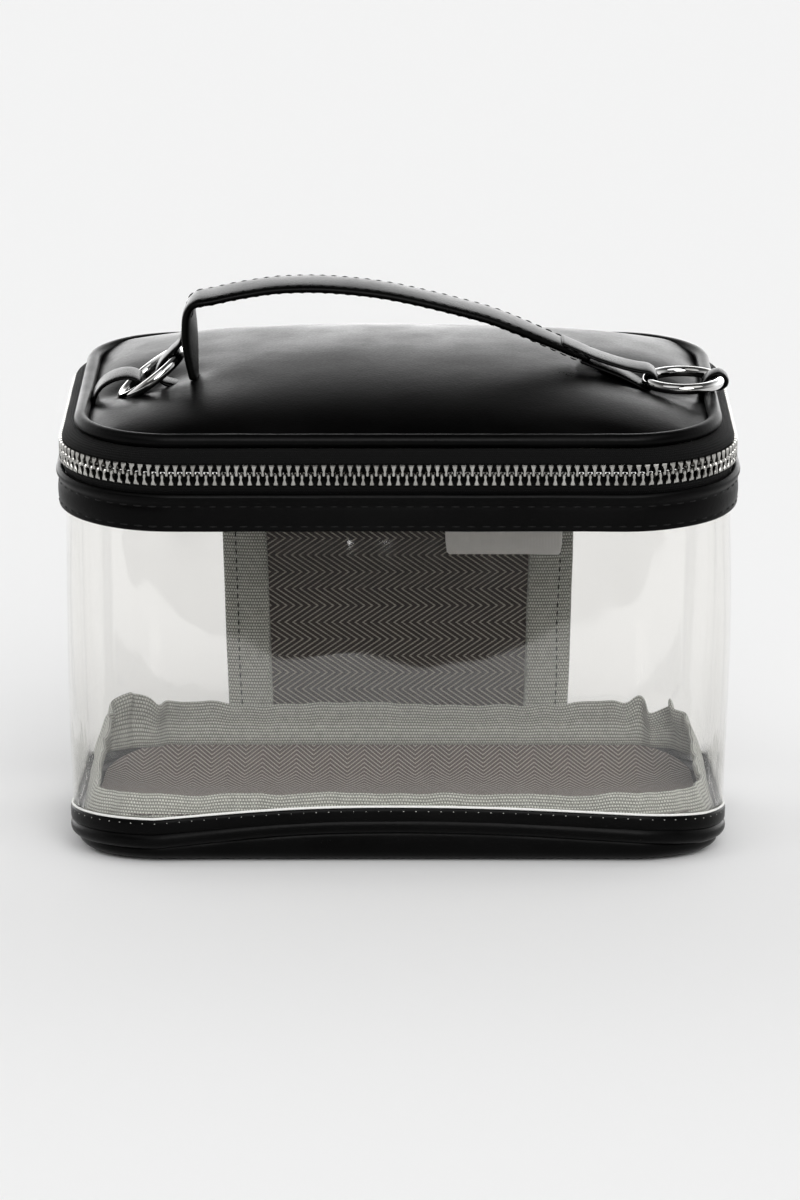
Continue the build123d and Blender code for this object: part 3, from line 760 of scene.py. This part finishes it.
t_fine = np.linspace(0, TURN, 2 * TURN, endpoint=False)
base_roll = tube(
    "base_roll",
    on_base(t_fine, np.full(t_fine.shape, BASE_ROLL), BASE_ROLL_HEIGHT + arch(t_fine) * 1.25),
    BASE_ROLL * (1 + 0.03 * round_ripple(t_fine, 11.0, 5)),
    (0, 0, 1),
    "case",
    black_leather,
)
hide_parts("base_piping")

flange = band(
    "base_seam",
    on_base,
    [(0.5, 9.4), (0.15, 10.4), (0.2, 12.2), (0.1, 13.4), (0.55, FLANGE_TOP)],
    0.8,
    "case",
    black_leather,
    shift=lambda t, h: (0.15 * round_ripple(t, 12.0, 8), arch(t)),
)
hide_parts("base_flange")


def lifted_base(t, inset, height):
    return on_base(t, inset, height + arch(t))


thread("base_seam_thread", *round_line(lifted_base, 0.12, 13.0), "case", grey_thread, 3.9, 0.6, 0.15)


def floor_height(x, y, share, t):
    """Top of the padded floor: a dish with soft lumps that turns up steeply at the back, and at the
    front where the arched seam lifts it."""
    lumps = np.array(
        [noise.noise(Vector((a * 0.028, b * 0.035, 4.2))) for a, b in zip(x.ravel(), y.ravel())]
    ).reshape(x.shape)
    dish = np.interp(y, [-64, -45, -20, 10, 30, 42, 52, 64], [15.0, 13.4, 10.0, 6.6, 5.9, 7.6, 11.0, 15.5])
    ends = 3.0 * ease(np.abs(x), 70.0, 100.0) * (1 - ease(np.abs(y), 30.0, 60.0))
    return dish + ends + 0.8 * lumps * (1 - share**4)


# The pad wears the lighter copy of the herringbone, whose extra brightness is painted light from above.
floor_pad = pillow(
    "floor_pad",
    on_base,
    FLOOR_INSET,
    floor_height,
    lambda x, y, share, t: floor_height(x, y, share, t) - 1.6 * (1 - ease(share, 0.97, 1.0)),
    "case",
    floor_cloth_painted_lit,
    turned=True,
)
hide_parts("base_board", "base_lining")


def tape_lean(t, h):
    """Sway of the base's binding tape: it leans in at the front and puckers at the corners."""
    rise = ease(h, 8.0, 21.0)
    x, y = ring(BASE, 7.0, t)
    back_corner = at_corner(t) * ease(y, 0.0, 40.0)
    waves = round_ripple(t, 11.0, 11) * (1.0 + 2.0 * at_corner(t))
    waves = waves + 7.5 * back_corner * round_ripple(t, 13.0, 12)
    end = ease(np.abs(x), 86.0, 98.0)
    lean = 1.5 + 2.0 * at_front(t) + 1.5 * at_corner(t) + 2.6 * end
    crest = 1.2 * round_ripple(t, 12.0, 13) + 6.5 * back_corner * (0.3 + round_ripple(t, 12.0, 14))
    return rise * lean - 3.3 * end + (0.35 + 0.65 * rise) * waves, back_rise(y) + rise * crest


TAPE_SECTION = [
    (6.5, 6.9), (6.2, 9.0), (6.1, 12.0), (6.1, 15.0), (6.1, 18.0), (6.25, 20.2), (6.7, 21.0),
    (7.4, 21.0), (7.9, 20.2), (8.1, 18.0), (8.1, 16.0), (7.75, 14.4), (8.5, 13.0), (9.4, 11.2),
    (9.8, 9.2), (9.3, 7.4), (8.0, 6.6),
]
base_tape = band(
    "base_tape", on_base, TAPE_SECTION, None, "case", grey_tape, t=t_fine, shift=tape_lean
)
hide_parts("base_binding")

# ---- clear wall ----
right_foot = PANEL_BASE / (BASE[0] / 2 - BASE[2]) * LONG / 2
right_head = PANEL_TOP / (RIM[0] / 2 - RIM[2]) * LONG / 2
wall_rows = np.linspace(0.0, 1.1, 34)[:, None]
spread_t = np.linspace(0, 1, 2 * TURN)[None, :]
wall_start = right_foot + (right_head - right_foot) * wall_rows
wall_t = wall_start + (TURN - 2 * wall_start) * spread_t


def wall_belly(t, height):
    """How far the vinyl stands out: it bows between its seams, most in the middle of a side."""
    t = np.mod(t, TURN)
    side_middle = [corners[2] + SHORT / 2, corners[6] + SHORT / 2]
    sides = sum(np.exp(-(((t - m) / (SHORT * 0.5)) ** 2)) for m in side_middle)
    bow = 3.0 * at_front(t) ** 0.7 + 1.8 * sides + 0.5
    arc = np.sin(np.clip(height, 0, 1) * math.pi)
    puckers = 0.5 * round_ripple(t, 20.0, 21) * np.exp(-((height / 0.16) ** 2))
    puckers = puckers + 0.35 * round_ripple(t, 24.0, 22) * np.exp(-(((height - 0.98) / 0.14) ** 2))
    long_waves = 0.9 * round_ripple(t + 9 * height, 3.2, 23) * arc
    return bow * arc + long_waves + puckers


def wall_foot(t, height):
    """Lift of the vinyl's foot with the arched seam."""
    return arch(t) * (1 - ease(height, 0.0, 0.5))


belly = wall_belly(wall_t, wall_rows)
wall_outer = on_wall(wall_t, 0.25 - belly, wall_rows)
wall_inner = on_wall(wall_t, 0.25 + WALL - belly, wall_rows)
for grid in (wall_outer, wall_inner):
    grid[..., 2] += wall_foot(wall_t, wall_rows)
clear_sheet = slab("clear_sheet", wall_outer, wall_inner, "case", clear_vinyl, 0)
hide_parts("clear_wall")

# Painted highlight: a pale opaque roll where the clear vinyl's edge catches light at the base seam.
tube(
    "vinyl_edge",
    lifted_base(t_fine, np.full(t_fine.shape, 0.75), np.full(t_fine.shape, FLANGE_TOP + 0.25)),
    0.42,
    (0, 0, 1),
    "case",
    vinyl_edge_painted_highlight,
    sides=8,
)

# ---- back panel ----
back_sides = np.linspace(-1, 1, 40)[None, :]
back_rows = np.linspace(-0.01, 1.1, 34)[:, None]


def puff(side, height):
    """Padding between the panel's seams, 0 at them and 1 in the middle."""
    return (1 - np.abs(side) ** 4) * np.sin(np.clip(height, 0, 1) * math.pi) ** 0.5


leather_out = on_back(back_sides, -0.9 * puff(back_sides, back_rows), back_rows)
leather_in = on_back(back_sides, 1.0, back_rows)
back_leather = slab("back_leather", leather_out, leather_in, "case", black_leather)
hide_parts("back_panel", "back_board")
lining_out = on_back(back_sides, 1.2, back_rows)
lining_in = on_back(back_sides, 3.0 + 0.8 * puff(back_sides, back_rows), back_rows)
back_cloth = slab("back_herringbone", lining_out, lining_in, "case", herringbone_cloth)
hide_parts("back_lining")

tape_rows = np.linspace(0.0, 1.0, 60)[:, None]
for hand, name in ((-1, "left"), (1, "right")):
    wander = 0.5 * ripple(tape_rows, 5.0, 31 + hand)
    offsets = np.array([-10.0, -9.6, -7.0, -3.5, -0.6, 0.6, 3.2, 4.7, 5.0])[None, :]
    lift = np.array([3.9, 4.3, 4.6, 4.5, 4.1, 3.7, 3.4, 2.9, 2.4])[None, :]
    under = np.array([3.2, 3.3, 3.4, 3.3, 3.0, 0.9, 0.8, 0.8, 1.2])[None, :]
    half = PANEL_BASE + (PANEL_TOP - PANEL_BASE) * tape_rows
    side = hand * (1 + (offsets + wander) / half)
    waves = 0.25 * ripple(tape_rows, 9.0, 41 + hand)
    front = on_back(side, lift + waves, tape_rows)
    rear = on_back(side, under, tape_rows)
    edge_tape = slab(f"back_tape_{name}", front, rear, "case", grey_tape)
    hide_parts(f"back_binding_{name}")
    seam = on_back(hand * (1 + (0.6 + wander[:, 0]) / half[:, 0]), 4.0 + waves[:, 0], tape_rows[:, 0])
    inward = np.tile([0.0, -1.0, 0.0], (len(seam), 1))
    thread(f"back_tape_thread_{name}", seam, inward, "case", black_thread, 3.0, 2.0, 0.25)

label_low, label_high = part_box("care_label")
label_x = np.linspace(label_low.x, label_high.x, 26)[None, :] / MM
panel_rise = rim(0, RIM[1] / 2 - WALL_RIM_INSET, BAND_BOTTOM)[2] - WALL_BOTTOM
label_foot = (label_low.z / MM - WALL_BOTTOM) / panel_rise
label_rows = np.linspace(label_foot, 1.02, 20)[:, None]
label_half = PANEL_BASE + (PANEL_TOP - PANEL_BASE) * label_rows
curl = 1.5 * (1 - ease(label_rows, label_foot, 1.0)) * (1 + 0.6 * ripple(label_x, 0.09, 51))
label_out = on_back(label_x / label_half, 5.3 + curl, label_rows)
label_in = on_back(label_x / label_half, 5.0 + curl, label_rows)
label = slab("blank_label", label_out, label_in, "case", label_satin)
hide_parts("care_label")

# ---- rim band, zip tapes and hinge ----
rim_leather = band(
    "rim_leather",
    on_rim,
    [
        (0.9, BAND_BOTTOM),
        (0.25, BAND_BOTTOM + 0.4),
        (0.1, -17.0),
        (0.35, -16.3),
        (0.02, -15.4),
        (-0.12, -13.2),
        (-0.02, -10.8),
        (0.38, -9.9),
        (0.1, -9.0),
        (-0.45, -8.1),
        (-0.7, -7.1),
        (-0.35, -6.1),
        (0.5, BAND_TOP),
        (1.6, -5.9),
    ],
    1.9,
    "case",
    black_leather,
    shift=lambda t, h: (0.12 * round_ripple(t, 9.0, 61), 0.15 * round_ripple(t, 6.0, 62)),
)
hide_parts("rim_band")
thread("rim_thread_low", *round_line(on_rim, 0.25, -16.3), "case", black_thread)
thread("rim_thread_high", *round_line(on_rim, 0.3, -9.9), "case", black_thread)

zip_start = TAPE_END / (RIM[0] / 2 - RIM[2]) * LONG / 2
zip_t = np.linspace(zip_start, TURN - zip_start, 2 * TURN)
tape_inset = ZIP_INSET - 0.4
lower_tape = band(
    "lower_tape",
    on_rim,
    [
        (2.9, -15.0),
        (2.8, -9.0),
        (2.2, -6.3),
        (tape_inset, -5.0),
        (tape_inset, -3.4),
        (tape_inset + 0.9, -3.0),
        (tape_inset + 2.0, -2.2),
        (tape_inset + 2.0, -0.4),
    ],
    0.8,
    "case",
    zip_cloth,
    t=zip_t,
    around=False,
)
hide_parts("lower_zip_tape")
upper_tape = band(
    "upper_tape",
    on_rim,
    [
        (tape_inset + 2.0, 0.4),
        (tape_inset + 2.0, 2.2),
        (tape_inset + 0.9, 3.0),
        (tape_inset, 3.4),
        (tape_inset + 0.1, 4.4),
        (tape_inset + 0.9, 5.4),
        (3.4, 6.2),
        (5.4, 6.9),
        (7.2, 7.1),
    ],
    0.8,
    "lid",
    zip_cloth,
    t=zip_t,
    around=False,
    shift=lambda t, h: (0.25 * round_ripple(t, 8.0, 71) * ease(h, 3.5, 5.5), 0 * h),
)
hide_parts("upper_zip_tape")

hinge_t = np.linspace(-1, 1, 60) * HINGE_HALF / (RIM[0] / 2 - RIM[2]) * LONG / 2
hinge_cover = band(
    "hinge_cover",
    on_rim,
    [
        (0.6, -6.2),
        (0.3, -5.0),
        (0.15, -3.2),
        (0.2, -1.4),
        (0.25, 0.0),
        (0.2, 1.4),
        (0.15, 2.9),
        (0.5, 4.4),
        (1.8, 5.6),
        (4.2, 6.6),
        (6.6, 7.0),
    ],
    0.9,
    None,
    black_leather,
    t=hinge_t,
    around=False,
)
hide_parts("hinge_strip_lower", "hinge_strip_upper")
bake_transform(hinge_cover)

# ---- zip teeth: a flared root on the tape's edge, a narrow neck and a round head ----
TOOTH = np.array(
    [(-0.84, 3.35), (-0.88, 2.7), (-0.42, 1.5), (-0.38, 1.0), (-0.56, 0.55), (-0.54, -0.1), (-0.28, -0.5)]
)


def tooth_form():
    """One tooth as (along, up, out): its outline chamfered front and back."""
    outline = np.concatenate([TOOTH, TOOTH[::-1] * [-1, 1]])
    middle = np.array([0.0, 1.4])
    verts, faces = [], []
    for out, share in ((-1.2, 0.75), (-0.9, 1.0), (0.95, 1.0), (1.3, 0.66)):
        face = middle + (outline - middle) * [share, 0.5 + share / 2]
        verts.append(np.column_stack([face, np.full(len(face), out)]))
    count = len(outline)
    for layer in range(3):
        for i in range(count):
            j = (i + 1) % count
            low, high = layer * count, (layer + 1) * count
            faces.append([low + i, low + j, high + j, high + i])
    faces.append(list(range(count))[::-1])
    faces.append([3 * count + i for i in range(count)])
    return np.concatenate(verts), faces


half_back = RIM[0] / 2 - RIM[2]
zip_line, zip_out = round_line(on_rim, ZIP_INSET, 0.0)
total = float(np.linalg.norm(np.diff(zip_line, axis=0), axis=1).sum())
form, form_faces = tooth_form()
first_tooth = half_back + 7.0
last_tooth = total - TAPE_END - 3.0
for body, node_name, sign, shift in (
    ("lid", "upper_zip_teeth", 1, 0.5),
    ("case", "lower_zip_teeth", -1, 0.0),
):
    spots = []
    for at, axes in spots_along(zip_line, zip_out, ZIP_PITCH, first_tooth, last_tooth, shift * ZIP_PITCH):
        up = np.array(rim_normal[:]) * sign
        spots.append((at, np.array([axes[0], up, axes[2]])))
    teeth = scatter(node_name.replace("zip_", ""), form, form_faces, spots, body, zip_metal)
    teeth.data.polygons.foreach_set("use_smooth", [False] * len(teeth.data.polygons))
    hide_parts(node_name)

# ---- lid: roll, cushion, inside ----
lid_roll = tube(
    "lid_roll",
    on_rim(t_fine, np.full(t_fine.shape, LID_ROLL_INSET), np.full(t_fine.shape, LID_ROLL_HEIGHT)),
    LID_ROLL * (1 + 0.03 * round_ripple(t_fine, 12.0, 81)),
    rim_normal,
    "lid",
    black_leather,
)
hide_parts("lid_piping")


def dome(x, y, share, t):
    """Top of the lid's cushion: full in the middle, steep at the front and back, easier at its
    two ends, and dented beside each tab."""
    ends = np.clip(1 - (np.abs(x) / 98.9) ** 2.6, 0, 1) ** 0.62
    reach = np.clip(np.abs(y) / 64.2, 0, 1)
    sides = np.where(y < 0, (1 - reach**1.75) ** 0.58, (1 - reach**2.4) ** 0.42)
    slack = np.array(
        [noise.noise(Vector((a * 0.02, b * 0.03, 9.1))) for a, b in zip(x.ravel(), y.ravel())]
    ).reshape(x.shape)
    dent = 0.75 * np.exp(-(((np.abs(x) - 89.0) / 20.0) ** 2) - ((y - HANDLE_DEPTH) / 16.0) ** 2)
    return LID_SEAM + 0.6 + (CUSHION_HEIGHT - 1.4 + 0.6 * slack) * ends * sides * (1 - dent)


cushion = pillow(
    "lid_cushion",
    on_rim,
    CUSHION_INSET,
    dome,
    lambda x, y, share, t: LID_SEAM - 0.2 + (dome(x, y, share, t) - LID_SEAM + 0.2) * ease(share, 0.995, 1.0),
    "lid",
    black_leather,
    cells=(56, 40),
)


def rim_height_of(point):
    return (point.z - zip_height) * cosine - point.y * sine


swell(cushion, lambda p: 1.0 if rim_height_of(p) < LID_SEAM + 0.9 else 0.0, 1.6)
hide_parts("lid_cover", "lid_foam")

lid_pad = pillow(
    "lid_herringbone",
    on_rim,
    10.4,
    lambda x, y, share, t: 6.3 + 0 * x,
    lambda x, y, share, t: 3.0 + 0.9 * share**6 + 2.4 * ease(share, 0.99, 1.0),
    "lid",
    herringbone_cloth,
)
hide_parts("lid_board", "lid_lining")
lid_tape = band(
    "lid_tape",
    on_rim,
    [(10.6, 1.4), (10.0, 2.4), (9.7, 4.0), (9.7, 5.6), (9.9, 6.4)],
    1.6,
    "lid",
    grey_tape,
    t=t_fine,
    shift=lambda t, h: (
        (0.35 + 0.7 * at_corner(t)) * round_ripple(t, 18.0, 91),
        0.3 * round_ripple(t, 9.0, 92),
    ),
)
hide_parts("lid_binding")

# ---- handle ----
STRAP, FOLD = 2.7, 1.5
STRAP_LINE = [
    (-65.0, 16.5),
    (-65.6, 22.0),
    (-66.1, 27.5),
    (-66.4, 33.0),
    (-66.3, 38.6),
    (-64.2, 41.5),
    (-59.0, 42.5),
    (-49.0, 44.4),
    (-36.0, 46.0),
    (-20.0, 45.9),
    (0.0, 43.3),
    (25.0, 36.8),
    (37.0, 32.3),
    (49.5, 26.6),
    (56.0, 23.6),
    (61.5, 21.6),
]
LEFT_FOLD = [
    (-67.6, 36.0), (-68.0, 31.5), (-69.4, 27.5), (-72.4, 24.4), (-75.4, 21.0), (-76.6, 17.6),
    (-74.8, 14.9), (-70.6, 13.8), (-67.0, 14.2), (-65.0, 16.2), (-64.8, 19.5),
]
RIGHT_FOLD = [
    (52.0, 26.9), (58.0, 24.2), (64.0, 21.6), (72.0, 19.0), (77.0, 17.9), (80.4, 17.3),
    (82.3, 15.4), (81.7, 12.9), (79.2, 12.0), (76.3, 13.4), (72.0, 15.6), (66.0, 18.1), (58.0, 21.2),
]
LEFT_TAB = [
    (-97.3, 7.0), (-96.6, 10.6), (-94.4, 13.8), (-90.8, 16.0), (-86.6, 16.9), (-82.9, 15.9),
    (-81.3, 13.2), (-82.6, 10.6), (-85.8, 8.4), (-90.0, 7.2), (-94.0, 6.4),
]
RIGHT_TAB = [
    (97.0, 7.4), (97.0, 10.6), (98.0, 13.4), (100.0, 15.6), (102.6, 16.4), (104.6, 15.2),
    (104.9, 13.2), (103.3, 11.8), (101.0, 11.6), (98.8, 10.2), (98.0, 7.6),
]


def smooth_line(points, count):
    """Even points along a smooth curve through a few."""
    given = np.asarray(points, dtype=float)
    padded = np.concatenate([[2 * given[0] - given[1]], given, [2 * given[-1] - given[-2]]])
    curve = []
    for k in range(len(given) - 1):
        a, b, c, d = padded[k : k + 4]
        for s in np.linspace(0, 1, 24, endpoint=False):
            bend = (2 * a - 5 * b + 4 * c - d) * s**2 + (3 * b - a - 3 * c + d) * s**3
            curve.append(0.5 * (2 * b + (c - a) * s + bend))
    curve = np.array(curve + [given[-1]])
    distance = np.concatenate([[0], np.cumsum(np.linalg.norm(np.diff(curve, axis=0), axis=1))])
    even = np.linspace(0, distance[-1], count)
    return np.column_stack([np.interp(even, distance, curve[:, k]) for k in (0, 1)])


def upward(line):
    """Unit directions square to a line of (x, height) points, on its upper side."""
    tangent = np.gradient(line, axis=0)
    tangent /= np.linalg.norm(tangent, axis=1)[:, None]
    return np.stack([-tangent[:, 1], tangent[:, 0]], axis=1)


def ribbon(name, line, width, thick, body, sway, twist=0.0):
    """Flat strap along a line of (x, height) points in the rim's frame, at the handle's depth. sway
    moves it back, and twist turns its two edges opposite ways, in mm."""
    out = upward(line)
    width, twist = (np.broadcast_to(value, (len(line),)) for value in (width, twist))
    section = [(-0.5, 0.0), (-0.46, 0.36), (-0.38, 0.5), (0.0, 0.62), (0.38, 0.5), (0.46, 0.36), (0.5, 0.0)]
    section += [(across, -high) for across, high in section[-2:0:-1]]
    grid = []
    for across, high in section:
        point = line + out * (high * thick + across * 2 * twist)[:, None]
        grid.append(rim(point[:, 0], HANDLE_DEPTH + across * width + sway, point[:, 1]))
    return skin(name, np.stack(grid), body, strap_leather, False)


strap_line = smooth_line(STRAP_LINE, 150)
share_along = np.linspace(0, 1, len(strap_line))
strap_sway = -3.5 * (1 - ease(share_along, 0.0, 0.35)) + 4.0 * ease(share_along, 0.55, 1.0)
strap_twist = -1.5 * np.sin(np.clip(share_along / 0.17, 0, 1) * math.pi)
strap_width = 12.0 + 6.0 * ease(share_along, 0.02, 0.2) * (1 - ease(share_along, 0.8, 0.98))
strap = ribbon("strap", strap_line, strap_width, STRAP, "handle", strap_sway, strap_twist)
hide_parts("handle_strap")
for name, line, sway, width, body in (
    ("left_fold", LEFT_FOLD, strap_sway[0] + 2.5, 9.5, "handle"),
    ("right_fold", RIGHT_FOLD, strap_sway[-1], 13.0, "handle"),
    ("left_loop", LEFT_TAB, 0.0, 14.5, None),
    ("right_loop", RIGHT_TAB, 3.5, 7.5, None),
):
    bent = smooth_line(line, 70)
    piece = ribbon(name, bent, width, FOLD, body, np.full(len(bent), sway))
    if body is None:
        hand = math.copysign(1, line[0][0])
        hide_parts(name.replace("loop", "tab"))
        seam, bar = (rim(hand * x, HANDLE_DEPTH, u) * MM for x, u in ((97.0, 9.0), (91.0, 11.0)))
        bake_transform(piece)


def strap_thread(name, across, face):
    """Stitches along the strap, across from its middle, on its upper or lower face."""
    point = strap_line + upward(strap_line) * face * (STRAP / 2 + 0.01)
    points = rim(point[:, 0], HANDLE_DEPTH + across + strap_sway, point[:, 1])
    inner = rim(strap_line[:, 0], HANDLE_DEPTH + across + strap_sway, strap_line[:, 1])
    ends = {"first": 22.0, "last": 168.0}
    return thread(name, points, points - inner, "handle", black_thread, 3.6, 2.5, 0.24, 0.15, **ends)


for number, (across, face) in enumerate([(-7.0, 1), (7.0, 1), (-7.0, -1), (7.0, -1)]):
    strap_thread(f"strap_thread_{number + 1}", across, face)

for node_name, finish in (
    ("left_ring", chrome),
    ("right_ring", chrome),
    ("slider", zip_metal),
    ("slider_pull", zip_metal),
    ("lower_zip_stops", zip_metal),
    ("upper_zip_stops", zip_metal),
):
    mesh = bpy.data.objects[node_name].data
    mesh.materials.clear()
    mesh.materials.append(finish)

# ---- floor, light and camera ----
floor_mesh = bpy.data.meshes.new("floor")
floor_corners = [(-20, -1, 0), (20, -1, 0), (20, 30, 0), (-20, 30, 0)]
floor_mesh.from_pydata(floor_corners, [], [(0, 1, 2, 3)])
floor = bpy.data.objects.new("floor", floor_mesh)
bpy.context.scene.collection.objects.link(floor)
FLOOR_TONE = (0.85, 0.85, 0.85, 1.0)
floor_paint = new_material("floor_paint", Roughness=0.9, Specular_IOR_Level=0.0, Base_Color=FLOOR_TONE)[0]
floor_mesh.materials.append(floor_paint)

camera_data = bpy.data.cameras.new("camera")
camera_data.sensor_fit = "AUTO"
camera_data.sensor_width = 36.0
camera_data.lens = 153.07
camera_data.clip_end = 100.0
camera = bpy.data.objects.new("camera", camera_data)
camera.location = (0.0006, -1.6354, 0.3221)
camera.rotation_euler = (math.radians(81.35), 0, 0)
bpy.context.scene.collection.objects.link(camera)
bpy.context.scene.camera = camera

SEEN_BACKDROP = 0.863
bpy.context.scene.view_settings.view_transform = "Standard"
world = bpy.data.worlds.new("studio")
bpy.context.scene.world = world
world.use_nodes = True
sky = world.node_tree
sky.nodes.clear()
where = sky.nodes.new("ShaderNodeTexCoord")
apart = sky.nodes.new("ShaderNodeSeparateXYZ")
sky.links.new(where.outputs["Generated"], apart.inputs[0])
sides = ramp(sky, apart.outputs[1], -0.6, 0.3, 0.1, 1.3)
glow = maths(
    sky, "MULTIPLY", ramp(sky, apart.outputs[1], 0.35, 0.85, 0.0, 2.6),
    ramp(sky, apart.outputs[2], 0.62, 0.35, 0.0, 1.0),
)
overhead = ramp(sky, apart.outputs[2], 0.5, 0.8, 1.0, 0.08)
lit = maths(sky, "ADD", maths(sky, "MULTIPLY", sides, overhead), glow)
by_camera = sky.nodes.new("ShaderNodeLightPath").outputs["Is Camera Ray"]
unseen = maths(sky, "MULTIPLY", lit, maths(sky, "SUBTRACT", 1.0, by_camera))
seen = maths(sky, "ADD", unseen, maths(sky, "MULTIPLY", by_camera, SEEN_BACKDROP))
background = sky.nodes.new("ShaderNodeBackground")
sky.links.new(seen, background.inputs["Strength"])
background.inputs["Color"].default_value = (1.0, 1.0, 1.0, 1.0)
world_out = sky.nodes.new("ShaderNodeOutputWorld")
sky.links.new(background.outputs[0], world_out.inputs[0])


def sun(name, azimuth, elevation, strength, spread):
    """Distant lamp that shines from an azimuth, 0 being the camera's side, and an elevation."""
    data = bpy.data.lights.new(name, "SUN")
    data.energy, data.angle = strength, math.radians(spread)
    lamp = bpy.data.objects.new(name, data)
    a, e = math.radians(azimuth), math.radians(elevation)
    toward = Vector((math.sin(a) * math.cos(e), -math.cos(a) * math.cos(e), math.sin(e)))
    lamp.rotation_euler = toward.to_track_quat("Z", "Y").to_euler()
    bpy.context.scene.collection.objects.link(lamp)


sun("key", 35, 52, 0.6, 40)
sun("fill", -40, 48, 0.4, 40)
sun("front", 8, 25, 2.05, 36)
